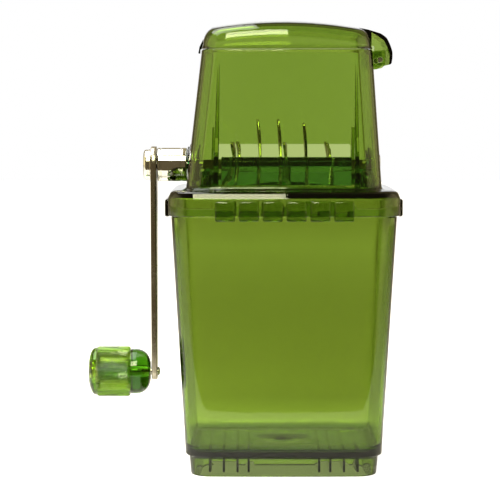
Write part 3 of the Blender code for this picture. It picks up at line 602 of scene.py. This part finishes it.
def guide_rails():
    """Rails inside the hopper, with upright inner faces and rounded edges."""
    rails = []
    for side, foot_left, foot_right, top_left, top_right, top_z, top_y in RAILS:
        rings = []
        for step in range(9):
            share = step / 8
            left = (foot_left + (top_left - foot_left) * share) * MM + BODY_X
            right = (foot_right + (top_right - foot_right) * share) * MM + BODY_X
            wall_y = RAIL_FOOT_Y + (top_y * MM - RAIL_FOOT_Y) * share
            z = LEDGE_TOP - 0.5 * MM + (top_z * MM - LEDGE_TOP + 0.5 * MM) * share
            corners = [(left, RAIL_FACE), (right, RAIL_FACE), (right, wall_y), (left, wall_y)]
            rings.append([(x, side * y, z) for x, y in rounded(corners, 0.45 * MM)])
        rails.append(loft(rings))
    return join(rails)


def ear_outline():
    """Side view of a hinge ear: rounded corners, run into the hopper's right wall."""
    corners = [
        (48.0 * MM, PIN_Z - 5.4 * MM), (54.2 * MM, PIN_Z - 4.6 * MM), (56.2 * MM, PIN_Z - 2.6 * MM),
        (56.2 * MM, PIN_Z + 5.4 * MM), (47.2 * MM, PIN_Z + 4.8 * MM),
    ]
    return rounded([(x + BODY_X, z) for x, z in corners], 0.9 * MM)


def screw_places():
    """Plan positions of the four breaker screws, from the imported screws."""
    places = []
    for number in range(1, 5):
        low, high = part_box(f"breaker_screw_{number}")
        places.append(((low.x + high.x) / 2, (low.y + high.y) / 2))
    return places


def housing_outside():
    """Rings of the outside, from the collar's lower edge up to the hopper's rim."""
    collar = arc((COLLAR_BOTTOM, 0.5 * MM), (COLLAR_BOTTOM + 0.5 * MM, 0.0), 3, "second")
    collar += [(COLLAR_TOP - drop * MM, inset * MM) for drop, inset in COLLAR_SHOULDER]
    collar.append((COLLAR_TOP + 0.05 * MM, 6.4 * MM))
    wall = arc((COLLAR_TOP + 0.15 * MM, -1.9 * MM), (HOPPER_BASE, 0.0), 5, "second")
    wall += levels(HOPPER_BASE, HOPPER_TOP, 0.0, 12)
    wall += arc((HOPPER_TOP - 0.7 * MM, 0.0), (HOPPER_TOP, 0.7 * MM), 4)
    return [collar_ring(z, inset) for z, inset in collar] + [hopper_ring(z, inset) for z, inset in wall]


def housing_inside():
    """Rings of the inside, from the hopper's rim down through the throat to the collar's lower edge."""
    wall = arc((HOPPER_TOP, HOPPER_WALL - 0.7 * MM), (HOPPER_TOP - 0.7 * MM, HOPPER_WALL), 4, "second")
    wall += levels(HOPPER_TOP, LEDGE_TOP + 2.5 * MM, HOPPER_WALL, 12)
    wall += arc((LEDGE_TOP + 2.5 * MM, HOPPER_WALL), (LEDGE_TOP, HOPPER_WALL + 2.5 * MM), 5)
    rings = [hopper_ring(z, inset) for z, inset in wall]
    for z, grow in ((LEDGE_TOP, 0.5), (LEDGE_TOP - 0.5 * MM, 0.0),
                    (DECK_BOTTOM + 0.5 * MM, 0.0), (DECK_BOTTOM, 0.5)):
        rings.append(section(THROAT_HALF_X, THROAT_HALF_Y, -grow * MM, z, THROAT_CORNER, BREAKER_X, 0.0))
    collar = arc((DECK_BOTTOM, COLLAR_WALL + 1.0 * MM), (DECK_BOTTOM - 1.0 * MM, COLLAR_WALL), 4, "second")
    collar += arc((COLLAR_BOTTOM + 0.4 * MM, COLLAR_WALL), (COLLAR_BOTTOM, COLLAR_WALL - 0.4 * MM), 3)
    return rings + [collar_ring(z, inset) for z, inset in collar]


def boss_faces():
    """Places along X of the left and the right boss's outer faces."""
    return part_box("left_bush")[0].x + 1.5 * MM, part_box("right_bush")[1].x + GAP


def bosses_and_ears():
    """Bearing bosses on the hopper's side walls, and the two hinge ears."""
    left, right = boss_faces()
    left_boss = turned([
        (left, LEFT_BOSS - 0.3 * MM), (left + 0.3 * MM, LEFT_BOSS), (left + 3.7 * MM, LEFT_BOSS)])
    right_boss = rod(right - 3.8 * MM, right, RIGHT_BOSS)
    ears = [prism(ear_outline(), low, low + EAR_OUTER - EAR_INNER, "Y") for low in (-EAR_OUTER, EAR_INNER)]
    return join([shift(left_boss, z=SHAFT_Z), shift(right_boss, z=SHAFT_Z)] + ears)


def boss_trims():
    """What is taken off outside the bosses' faces."""
    left, right = boss_faces()
    trims = (rod(left - 8 * MM, left, 10.6 * MM), rod(right, right + 8 * MM, 6.8 * MM))
    return join([shift(trim, z=SHAFT_Z) for trim in trims])


def pin_hole():
    """The hinge pin's hole, through whatever it meets."""
    return shift(rod(-25 * MM, 25 * MM, SMALL_HOLE, "Y", SMALL_STEPS), x=PIN_X + BODY_X, z=PIN_Z)


def housing_holes():
    """Holes for the bushes, the hinge pin and the screws, and the slot in the rear wall."""
    left, right = boss_faces()
    holes = [
        shift(rod(left - 4 * MM, left + 8 * MM, BUSH_HOLE), z=SHAFT_Z),
        shift(rod(right - 8 * MM, right + 4 * MM, BUSH_HOLE), z=SHAFT_Z),
        pin_hole(),
    ]
    for x, y in screw_places():
        hole = rod(DECK_BOTTOM - 2 * MM, LEDGE_TOP + 2 * MM, SMALL_HOLE, "Z", SMALL_STEPS)
        holes.append(shift(hole, x, y))
    (left, bottom), (right, top) = SLOT
    slot = rounded([(left, bottom), (right, bottom), (right, top), (left, top)], 1.5 * MM)
    holes.append(shift(prism(slot, 38 * MM, 52 * MM, "Y"), x=BODY_X))
    return join(holes)


def build_housing(paint):
    """Collar, deck with its throat, and open-topped hopper, with rails, bearing bosses and hinge ears."""
    skin = loft(housing_outside() + housing_inside(), closed=True)
    piece("hopper_housing", skin, paint, "housing", ["housing"],
          welds=[grip_blocks(), bosses_and_ears(), guide_rails()], cuts=[boss_trims(), housing_holes()])


# ---------------- lid

def lid_height(x, y):
    """Height of the lid's outside above a point of its plan."""
    x -= BODY_X
    return LID_TOP - x * x / (2 * LID_ARCH_X) - y * y / (2 * LID_ARCH_Y)


def lid_skin(inset, thickness):
    """Rings of one skin of the lid, from its lower edge up over the fillet to the middle."""
    half_x, half_y, lean = hopper_size(HOPPER_TOP)
    out = LID_FILLET_OUT - thickness / 2
    up = LID_FILLET_UP - thickness / 2
    rings = []
    for z, extra in ((LID_BOTTOM, 0.3), (LID_BOTTOM + 0.3 * MM, 0.0)):
        edge_inset = inset + (extra if thickness == 0 else -extra) * MM
        rings.append(section(half_x, half_y, edge_inset, z, lean=lean))
    for step in range(13):
        angle = math.pi / 2 * step / 12
        pull = inset + 0.7 * MM + out * (1 - math.cos(angle))
        drop = thickness + up * (1 - math.sin(angle))
        ring = section(half_x, half_y, pull, 0.0, lean=lean)
        rings.append([(x, y, lid_height(x, y) - drop) for x, y, _ in ring])
    for pull in (11, 16, 22, 28, 34, 38):
        ring = section(half_x, half_y, inset + pull * MM, 0.0, lean=lean)
        rings.append([(x, y, lid_height(x, y) - thickness) for x, y, _ in ring])
    return rings


def cover_outline(inset):
    """Side view of the hinge cover: it starts in the lid's top and turns down behind the pin."""
    top = lid_height(BODY_X + 50 * MM, 0.0) + 0.4 * MM
    outer = [
        (46.4 * MM, top - 0.1 * MM), (53.6 * MM, top - 2.3 * MM), (56.8 * MM, top - 4.6 * MM),
        (58.6 * MM, top - 8.2 * MM), (60.0 * MM, top - 12.2 * MM), (60.0 * MM, top - 15.8 * MM),
        (59.4 * MM, top - 19.3 * MM),
    ]
    if inset:
        skin = [(max(x - inset, COVER_HOLLOW_START), z - inset) for x, z in outer]
        points = skin + [
            (57.0 * MM, PIN_Z - 12 * MM), (40.0 * MM, PIN_Z - 12 * MM), (40.0 * MM, LID_BOTTOM - 0.1 * MM),
            (COVER_HOLLOW_START, LID_BOTTOM - 0.1 * MM),
        ]
        return [(x + BODY_X, z) for x, z in points]
    radius = 3.3 * MM
    points = outer[:]
    for step in range(9):
        angle = -math.pi / 2 - math.pi / 2 * step / 8
        points.append((PIN_X + radius * math.cos(angle), PIN_Z + radius * math.sin(angle)))
    points += [(PIN_X - radius, LID_BOTTOM + 2.0 * MM), (47.2 * MM, LID_BOTTOM + 2.0 * MM)]
    points += [(46.8 * MM, top - 4.4 * MM), (41.0 * MM, top - 0.4 * MM), (41.0 * MM, top + 0.9 * MM)]
    return [(x + BODY_X, z) for x, z in points]


def build_lid(paint):
    """Arched shell with a finger lip on the left and a cover over the hinge on the right."""
    outer = lid_skin(0.0, 0.0)
    inner = lid_skin(LID_WALL, LID_WALL)
    lip_outline = [
        (-46.1, 231.6), (-46.1, 233.8), (-43.8, 234.6), (-43.2, 240.0),
        (-44.6, 239.4), (-46.6, 235.4), (-47.3, 231.6),
    ]
    lip_outline = [(BODY_X + x * MM, z * MM) for x, z in lip_outline]
    lip = prism(rounded(lip_outline, 0.4 * MM), -LIP_HALF, LIP_HALF, "Y")
    cover = prism(rounded(cover_outline(0.0), 1.2 * MM), -COVER_HALF, COVER_HALF, "Y")
    hollow = prism(cover_outline(COVER_SKIN), -COVER_HOLLOW_HALF, COVER_HOLLOW_HALF, "Y")
    piece("arched_lid", loft(outer[::-1] + inner), paint, "lid", ["lid"],
          welds=[lip, cover], cuts=[hollow, pin_hole()])


# ---------------- breakers and small fixed parts

def breaker_columns(node, side, middle):
    """Screw columns at both ends of a breaker, each with a web to the plate, and the screws' holes."""
    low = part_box(node)[0].z
    top = SHAFT_Z - 2.8 * MM
    near, far = sorted((side * BREAKER_NEAR, side * BREAKER_FAR))
    profile = [(low, COLUMN_RADIUS), (top - 0.4 * MM, COLUMN_RADIUS), (top, COLUMN_RADIUS - 0.4 * MM)]
    solids, holes = [], []
    for x, y in screw_places():
        if y * side < 0:
            continue
        away = math.copysign(1.0, x - middle)
        left, right = sorted((middle + away * (BREAKER_HALF - 1 * MM), x - away * 2 * MM))
        solids.append(shift(turned(profile, "Z", 48), x, y))
        solids.append(soft_box((left, near + 0.1 * MM, low + 1.7 * MM), (right, far - 0.1 * MM, top - 1 * MM),
                               0.2 * MM))
        holes.append(shift(rod(low - 2 * MM, low + 8 * MM, SMALL_HOLE, "Z", SMALL_STEPS), x, y))
    return solids, holes


def build_breaker(paint, name, side):
    """An upright plate with a screw column at each end; the front one has a thick bar and a middle rib."""
    low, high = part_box(name)
    ends = [x for x, y in screw_places() if y * side > 0]
    middle = (ends[0] + ends[1]) / 2
    near, far = sorted((side * BREAKER_NEAR, side * BREAKER_FAR))
    foot = low.z + 1.2 * MM
    plate_top = high.z if side > 0 else high.z - 2.2 * MM
    plate = soft_box((middle - BREAKER_HALF, near, foot), (middle + BREAKER_HALF, far, plate_top), 0.3 * MM)
    welds, cuts = breaker_columns(name, side, middle)
    if side < 0:
        front = -29.3 * MM
        low_bar = (middle - BREAKER_HALF, front, high.z - 5.5 * MM)
        welds.append(soft_box(low_bar, (middle + BREAKER_HALF, front + 3.1 * MM, high.z), 0.4 * MM))
        low_rib = (middle - 2.3 * MM, front, foot)
        welds.append(soft_box(low_rib, (middle + 2.3 * MM, front + 2.0 * MM, high.z), 0.35 * MM))
    piece(f"{name}_bar", plate, paint, "housing", [name], welds=welds, cuts=cuts)


def screw_profile(low, high):
    """A rounded head and a shank with rings like a thread, as (height, radius) points from low to high."""
    head_top = low + (high - low) * 0.16
    profile = [(low, 1.6 * MM), (low + 0.15 * MM, 2.2 * MM), (head_top - 0.6 * MM, 2.7 * MM),
               (head_top - 0.05 * MM, 2.7 * MM), (head_top, 1.25 * MM)]
    z = head_top + 0.3 * MM
    while z < high - 1.2 * MM:
        profile += [(z, 1.15 * MM), (z + 0.25 * MM, 1.5 * MM), (z + 0.4 * MM, 1.5 * MM)]
        z += 0.65 * MM
    return profile + [(high - 0.6 * MM, 1.1 * MM), (high, 0.7 * MM)]


def build_screws(paint):
    """The four screws of the breakers."""
    for number in range(1, 5):
        node = f"breaker_screw_{number}"
        low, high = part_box(node)
        middle = (low + high) / 2
        screw = shift(turned(screw_profile(low.z, high.z), "Z", SMALL_STEPS), middle.x, middle.y)
        piece(f"threaded_{node}", screw, paint, "housing", [node])


def build_bushes(paint):
    """Bearing bushes with rounded flanges."""
    left_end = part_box("left_bush")[0].x
    right_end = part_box("right_bush")[1].x
    for node, end, inwards, profile in (("left_bush", left_end, 1, LEFT_BUSH),
                                        ("right_bush", right_end, -1, RIGHT_BUSH)):
        points = [(end + inwards * along * MM, radius * MM) for along, radius in profile]
        bush = shift(turned(points, closed=True), z=SHAFT_Z)
        piece(f"rounded_{node}", bush, paint, "housing", [node])


def build_pin(paint):
    """Hinge pin with chamfered ends."""
    low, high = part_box("lid_hinge_pin")
    profile = [(low.y, 1.2 * MM), (low.y + 0.3 * MM, 1.5 * MM)]
    profile += [(high.y - 0.3 * MM, 1.5 * MM), (high.y, 1.2 * MM)]
    pin = shift(turned(profile, "Y", SMALL_STEPS), x=PIN_X + BODY_X, z=PIN_Z)
    piece("chamfered_pin", pin, paint, "housing", ["lid_hinge_pin"])


# ---------------- rotor

def smooth_outline(points):
    """A closed curve through every point of an outline."""
    steps = 5
    count = len(points)
    made = []
    for i in range(count):
        a, b, c, d = (Vector(points[(i + k) % count]) for k in (-1, 0, 1, 2))
        for step in range(steps):
            t = step / steps
            made.append(0.5 * (2 * b + (c - a) * t + (2 * a - 5 * b + 4 * c - d) * t ** 2
                               + (3 * b - a - 3 * c + d) * t ** 3))
    return made


def hub_points(*degrees):
    """Points on a blade's round hub."""
    angles = [math.radians(turn) for turn in degrees]
    return [(BLADE_HUB * math.cos(angle), BLADE_HUB * math.sin(angle)) for angle in angles]


def blade_outline():
    """Half of a blade as (Y, Z) points: hub, hooked arm and hub again."""
    arm = [(7.0, 5.4), (5.0, 10.0), (4.2, 17.0), (2.6, 22.5), (0.6, 25.2), (-1.4, 24.0), (-3.0, 19.0),
           (-4.4, 11.0), (-7.0, 5.4)]
    return hub_points(0, 12, 24) + [(y * MM, z * MM) for y, z in arm] + hub_points(156, 168)


def blade_ring(polar, level, inset):
    """A blade's outline at a place across its thickness, with the arms bent a little towards the crank."""
    points = []
    for angle, reach in polar:
        bend = BLADE_BEND * max(0.0, (reach - BLADE_HUB) / (BLADE_TIP - BLADE_HUB)) ** 2
        points.append((level - bend, (reach - inset) * math.cos(angle), (reach - inset) * math.sin(angle)))
    return points


def square_ring(polar, level):
    """The edge of a blade's square hole, point for point with its outline."""
    points = []
    for angle, _ in polar:
        reach = SQUARE_HOLE / max(abs(math.cos(angle)), abs(math.sin(angle)))
        points.append((level, reach * math.cos(angle), reach * math.sin(angle)))
    return points


def blade_shape(turn):
    """A two-armed blade with a square hole and ground edges."""
    outline = smooth_outline(blade_outline() + [(-y, -z) for y, z in blade_outline()])
    polar = [(math.atan2(z, y) + math.radians(turn), math.hypot(y, z)) for y, z in outline]
    face = BLADE_THICKNESS / 2
    rings = [
        blade_ring(polar, -face, BLADE_GRIND), blade_ring(polar, -face + 0.2 * MM, 0.0),
        blade_ring(polar, face - 0.2 * MM, 0.0), blade_ring(polar, face, BLADE_GRIND),
        square_ring(polar, face), square_ring(polar, -face),
    ]
    return loft(rings, closed=True)


def build_blades(paint):
    """Seven blades along the shaft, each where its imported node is."""
    for number, turn in enumerate(BLADE_TURNS, start=1):
        node = f"blade_{number}"
        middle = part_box(node)[1].x - BLADE_THICKNESS / 2
        blade = shift(blade_shape(turn), x=middle, z=SHAFT_Z)
        piece(f"ground_{node}", blade, paint, "rotor", [node])


def build_end_cap(paint):
    """Push-on cap at the shaft's right end."""
    low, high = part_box("shaft_end_cap")
    recess = low.x + 0.9 * MM
    profile = [(recess, 2.7 * MM), (recess, 3.0 * MM), (low.x, 3.0 * MM), (low.x, 5.9 * MM)]
    profile += arc((low.x + 0.3 * MM, 6.2 * MM), (high.x, 4.8 * MM), 6)
    profile += [(high.x - 0.1 * MM, 2.0 * MM)]
    piece("domed_end_cap", shift(turned(profile), z=SHAFT_Z), paint, "rotor", ["shaft_end_cap"])


# ---------------- crank

def groove(at, depth):
    """A shallow turned groove at a place along a tube's outside."""
    return [(at - 0.45 * MM, 0.0), (at - 0.3 * MM, -depth), (at + 0.3 * MM, -depth), (at + 0.45 * MM, 0.0)]


def build_sleeve(paint):
    """Plated tube with a turned groove near each end and rolled edges."""
    low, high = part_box("crank_sleeve")
    outer = (high.z - low.z) / 2
    profile = [(low.x, SHAFT_HOLE), (low.x, outer - 0.8 * MM)]
    profile += arc((low.x, outer - 0.7 * MM), (low.x + 0.7 * MM, outer), 5, "second")
    for at in (low.x + 2.0 * MM, high.x - 3.2 * MM):
        profile += [(x, outer + drop) for x, drop in groove(at, 0.35 * MM)]
    profile += arc((high.x - 0.9 * MM, outer), (high.x, outer - 0.7 * MM), 5)
    profile.append((high.x, SHAFT_HOLE))
    sleeve = shift(turned(profile, closed=True), z=SHAFT_Z)
    piece("grooved_sleeve", sleeve, paint, "rotor", ["crank_sleeve"])


def build_nut(paint):
    """Cap nut with a stepped, rounded face."""
    low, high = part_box("crank_cap_nut")
    outer = (high.z - low.z) / 2
    profile = [(low.x + 0.8 * MM, 2.8 * MM), (high.x, 2.8 * MM), (high.x, outer - 0.2 * MM),
               (high.x - 0.2 * MM, outer)]
    profile += [(high.x - 1.0 * MM, outer), (high.x - 1.15 * MM, outer - 0.35 * MM),
                (high.x - 1.4 * MM, outer - 0.35 * MM), (high.x - 1.5 * MM, outer - 0.1 * MM)]
    profile += arc((high.x - 2.2 * MM, outer - 0.1 * MM), (low.x, outer - 2.6 * MM), 8)
    profile += [(low.x, 1.0 * MM)]
    piece("domed_cap_nut", shift(turned(profile), z=SHAFT_Z), paint, "rotor", ["crank_cap_nut"])


def arm_end(radius, drop, start, sweep, steps):
    """One round end of the arm, as (Y, Z) points."""
    angles = [start + sweep * step / steps for step in range(steps + 1)]
    return [(radius * math.cos(angle), radius * math.sin(angle) - drop) for angle in angles]


def arm_outline(inset):
    """The arm's outline: its two round ends, joined by straight edges."""
    lean = math.asin((ARM_EYE - ARM_END) / CRANK_RADIUS)
    eye = arm_end(ARM_EYE - inset, 0.0, -lean, math.pi + 2 * lean, 48)
    end = arm_end(ARM_END - inset, CRANK_RADIUS, math.pi + lean, math.pi - 2 * lean, 24)
    return eye + end


def build_arm(paint):
    """Flat bar with rounded edges, a square hole on the shaft and a round one for the axle."""
    low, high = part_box("crank_arm")
    rings = []
    for x, inset in ((low.x, 0.5), (low.x + 0.15 * MM, 0.15), (low.x + 0.5 * MM, 0.0),
                     (high.x - 0.5 * MM, 0.0), (high.x - 0.15 * MM, 0.15), (high.x, 0.5)):
        rings.append([(x, y, z + SHAFT_Z) for y, z in arm_outline(inset * MM)])
    half = SQUARE_HOLE
    square = prism([(-half, -half), (half, -half), (half, half), (-half, half)], low.x - MM, high.x + MM, "X")
    bore = rod(low.x - MM, high.x + MM, AXLE_BORE, steps=SMALL_STEPS)
    piece("rounded_crank_arm", loft(rings), paint, "rotor", ["crank_arm"],
          cuts=[shift(square, z=SHAFT_Z), shift(bore, z=KNOB_Z)])


def build_axle(paint):
    """Rivet that carries the knob: domed head on the arm's inner side and a collar inside the grip."""
    low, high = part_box("knob_axle")
    collar = low.x + 1.6 * MM
    profile = [(low.x, 3.4 * MM), (low.x + 0.25 * MM, 4.0 * MM), (collar, 4.0 * MM), (collar, 2.0 * MM),
               (high.x - 1.1 * MM, 2.0 * MM), (high.x - 1.1 * MM, 2.5 * MM)]
    profile += arc((high.x - 0.9 * MM, 2.6 * MM), (high.x, 0.5 * MM), 8)
    piece("domed_axle", shift(turned(profile, steps=48), z=KNOB_Z), paint, "rotor", ["knob_axle"])


# ---------------- knob

def build_core(paint):
    """Core of the knob: domed neck, a shoulder and the spigot inside the grip."""
    low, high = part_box("knob_core")
    middle = high.x - 7.9 * MM
    profile = [(high.x, AXLE_BORE), (high.x, 5.2 * MM), (high.x - 0.1 * MM, 5.6 * MM)]
    for step in range(17):
        angle = math.radians(8 + 82 * step / 16)
        profile.append((middle + DOME_RADIUS * math.cos(angle), 5.0 * MM + DOME_RADIUS * math.sin(angle)))
    shoulder = high.x - 11.1 * MM
    profile += [(shoulder + 0.3 * MM, NECK_RADIUS), (shoulder, NECK_RADIUS - 0.3 * MM)]
    profile += [(shoulder, SPIGOT_RADIUS), (low.x + 0.4 * MM, SPIGOT_RADIUS)]
    profile += [(low.x, SPIGOT_RADIUS - 0.4 * MM), (low.x, AXLE_BORE)]
    core = shift(turned(profile, closed=True), z=KNOB_Z)
    piece("domed_knob_core", core, paint, "knob", ["knob_core"])


def fluted_ring(x, radius, depth):
    """A ring of fine axial flutes."""
    steps = FLUTES * 6
    points = []
    for i in range(steps):
        angle = 2 * math.pi * i / steps
        reach = radius - depth * (0.5 - 0.5 * math.cos(FLUTES * angle))
        points.append((x, reach * math.cos(angle), reach * math.sin(angle)))
    return points


def build_grip(paint):
    """Tube with fine axial flutes outside and turned rings inside."""
    low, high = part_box("knob_grip")
    rings = []
    for along, drop, depth in ((0.0, 0.7, 0.0), (0.15, 0.35, 0.1), (0.5, 0.0, 1.0)):
        rings.append(fluted_ring(low.x + along * MM, KNOB_RADIUS - drop * MM, depth * FLUTE_DEPTH))
    for along, drop, depth in ((1.4, 0.0, 1.0), (0.6, 0.15, 0.6), (0.15, 0.55, 0.1), (0.0, 0.9, 0.0)):
        rings.append(fluted_ring(high.x - along * MM, KNOB_RADIUS - drop * MM, depth * FLUTE_DEPTH))
    inner = []
    x = high.x
    while x > low.x + 0.4 * MM:
        inner += [(x, 9.5 * MM), (x - 0.3 * MM, 9.62 * MM)]
        x -= 0.7 * MM
    inner.append((low.x, 9.5 * MM))
    rings += [fluted_ring(along, radius, 0.0) for along, radius in inner]
    grip = shift(loft(rings, closed=True), z=KNOB_Z)
    piece("fluted_knob_grip", grip, paint, "knob", ["knob_grip"])


def build_knob_cap(paint):
    """Outer end cap of the knob, rounded into a nearly flat face."""
    low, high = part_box("knob_end_cap")
    reach = high.x - low.x
    profile = [(high.x - 1.0 * MM, 1.0 * MM), (high.x - 1.0 * MM, 4.5 * MM), (high.x, 4.5 * MM)]
    for step in range(21):
        part = math.sin(math.pi / 2 * step / 20.4)
        profile.append((high.x - reach * part, CAP_RADIUS * (1 - part ** 2.5) ** 0.4))
    profile.append((low.x, 1.0 * MM))
    cap = shift(turned(profile), z=KNOB_Z)
    piece("rounded_knob_cap", cap, paint, "knob", ["knob_end_cap"])


# ---------------- studio

def floor_paint():
    """Pale floor that glows in a strip behind the object; the camera sees it as white."""
    paint, tree, shader = new_material("pale_floor")
    set_inputs(shader, {"Base Color": (*FLOOR_COLOUR, 1.0), "Roughness": 0.9})
    set_inputs(shader, {"Emission Color": (*WHITE, 1.0)})
    coords = tree.nodes.new("ShaderNodeTexCoord")
    split = tree.nodes.new("ShaderNodeSeparateXYZ")
    tree.links.new(coords.outputs["Object"], split.inputs["Vector"])
    ramp = tree.nodes.new("ShaderNodeValToRGB")
    for element, (place, glow) in zip(ramp.color_ramp.elements, (FLOOR_GLOW[0], FLOOR_GLOW[-1])):
        element.position = place
        element.color = (glow, glow, glow, 1.0)
    for place, glow in FLOOR_GLOW[1:-1]:
        ramp.color_ramp.elements.new(place).color = (glow, glow, glow, 1.0)
    tree.links.new(ramp_node(tree, split.outputs["Y"], FLOOR_BACK, 0.0), ramp.inputs["Fac"])
    square = math_node(tree, "MULTIPLY", split.outputs["X"], split.outputs["X"])
    strip = math_node(tree, "MULTIPLY", ramp.outputs["Color"], ramp_node(tree, square, 0.05, 0.22))
    seen = tree.nodes.new("ShaderNodeLightPath")
    strength = math_node(tree, "MAXIMUM", strip, seen.outputs["Is Camera Ray"])
    tree.links.new(strength, shader.inputs["Emission Strength"])
    return paint


def build_floor():
    """Sheet under the object, from a little in front of it to far behind it."""
    mesh = bpy.data.meshes.new("floor")
    corners = [(-FLOOR_SIDE, FLOOR_FRONT, 0), (FLOOR_SIDE, FLOOR_FRONT, 0), (FLOOR_SIDE, FLOOR_BACK, 0),
               (-FLOOR_SIDE, FLOOR_BACK, 0)]
    mesh.from_pydata(corners, [], [(0, 1, 2, 3)])
    mesh.materials.append(floor_paint())
    floor = bpy.data.objects.new("floor", mesh)
    bpy.context.collection.objects.link(floor)


def ramp_node(tree, value, start, end):
    """One at start, falling evenly to zero at end."""
    node = tree.nodes.new("ShaderNodeMapRange")
    set_inputs(node, {"From Min": end, "From Max": start})
    tree.links.new(value, node.inputs["Value"])
    return node.outputs["Result"]


def math_node(tree, operation, first, second):
    """One math node with two linked inputs."""
    node = tree.nodes.new("ShaderNodeMath")
    node.operation = operation
    tree.links.new(first, node.inputs[0])
    tree.links.new(second, node.inputs[1])
    return node.outputs["Value"]


def colour_mix(tree, share, first, second):
    """Mix two colours, each given as a value or as a linked output."""
    node = tree.nodes.new("ShaderNodeMix")
    node.data_type = "RGBA"
    tree.links.new(share, node.inputs["Factor"])
    for socket, colour in ((node.inputs["A"], first), (node.inputs["B"], second)):
        if isinstance(colour, tuple):
            socket.default_value = (*colour, 1.0)
        else:
            tree.links.new(colour, socket)
    return node.outputs["Result"]


def world_light():
    """A dim tan room with cream walls left and right and a white card behind; the camera sees plain white."""
    world = bpy.data.worlds.new("studio")
    bpy.context.scene.world = world
    world.use_nodes = True
    tree = world.node_tree
    coords = tree.nodes.new("ShaderNodeTexCoord")
    split = tree.nodes.new("ShaderNodeSeparateXYZ")
    tree.links.new(coords.outputs["Generated"], split.inputs["Vector"])
    square = math_node(tree, "MULTIPLY", split.outputs["X"], split.outputs["X"])
    front = ramp_node(tree, split.outputs["Y"], -0.45, -0.05)
    room = colour_mix(tree, front, TAN_ROOM, DIM_FRONT)
    low = ramp_node(tree, split.outputs["Z"], 0.5, 0.6)
    beside = math_node(tree, "MULTIPLY", low, ramp_node(tree, square, 0.66, 0.56))
    room = colour_mix(tree, beside, room, CREAM_WALL)
    behind = math_node(tree, "MULTIPLY", low, ramp_node(tree, split.outputs["Y"], 0.3, 0.2))
    card = math_node(tree, "MULTIPLY", behind, ramp_node(tree, square, 0.05, 0.08))
    seen = tree.nodes.new("ShaderNodeLightPath")
    white = math_node(tree, "MAXIMUM", card, seen.outputs["Is Camera Ray"])
    colour = colour_mix(tree, white, room, WHITE)
    tree.links.new(colour, tree.nodes["Background"].inputs["Color"])


def soft_light(name, place, target, size, power, colour=WHITE):
    """A rectangular softbox aimed at a point."""
    light = bpy.data.lights.new(name, "AREA")
    light.shape = "RECTANGLE"
    light.size, light.size_y = size
    light.energy = power
    light.color = colour
    made = bpy.data.objects.new(name, light)
    made.location = place
    made.rotation_mode = "QUATERNION"
    made.rotation_quaternion = (Vector(target) - Vector(place)).to_track_quat("-Z", "Y")
    bpy.context.collection.objects.link(made)


def build_camera():
    """Long lens above the object's middle, looking slightly down, with the jug right of centre."""
    camera = bpy.data.cameras.new("camera")
    made = bpy.data.objects.new("camera", camera)
    bpy.context.collection.objects.link(made)
    camera.lens = CAMERA_LENS
    camera.sensor_width = 36
    camera.clip_start = 0.05
    camera.clip_end = 20
    made.location = (BODY_X - CAMERA_LEFT, -CAMERA_DISTANCE, CAMERA_HEIGHT)
    made.rotation_mode = "XYZ"
    made.rotation_euler = (math.pi / 2 - math.radians(CAMERA_PITCH), 0.0, 0.0)
    bpy.context.scene.camera = made


def render_settings():
    """Enough bounces for several walls of clear plastic, and plain display colours."""
    scene = bpy.context.scene
    scene.view_settings.view_transform = "Standard"
    scene.cycles.max_bounces = 24
    scene.cycles.transmission_bounces = 24
    scene.cycles.glossy_bounces = 8
    scene.cycles.diffuse_bounces = 3
    scene.cycles.caustics_refractive = True
    scene.cycles.caustics_reflective = True


# ---------------- all together

def main():
    """Make every piece, the studio and the camera."""
    paints = make_materials()
    build_jug(paints["body"])
    build_housing(paints["body"])
    build_lid(paints["body"])
    build_breaker(paints["breaker"], "front_breaker", -1)
    build_breaker(paints["breaker"], "rear_breaker", 1)
    build_screws(paints["shaft"])
    build_bushes(paints["breaker"])
    build_pin(paints["shaft"])
    build_blades(paints["steel"])
    build_end_cap(paints["steel"])
    build_sleeve(paints["chrome"])
    build_nut(paints["chrome"])
    build_arm(paints["arm"])
    build_axle(paints["steel"])
    build_core(paints["core"])
    build_grip(paints["knob"])
    build_knob_cap(paints["knob"])
    shaft = frame["nodes"]["shaft"].data
    shaft.materials.clear()
    shaft.materials.append(paints["shaft"])
    build_floor()
    world_light()
    soft_light("key", (-0.087, -0.77, 0.895), (-0.087, -0.05, 0.2), (0.267, 0.57), 6.7, CREAM_LIGHT)
    soft_light("top_left", (-0.455, 0.10, 1.00), (-0.455, 0.10, 0.0), (0.81, 0.90), 9.2)
    build_camera()
    render_settings()


main()
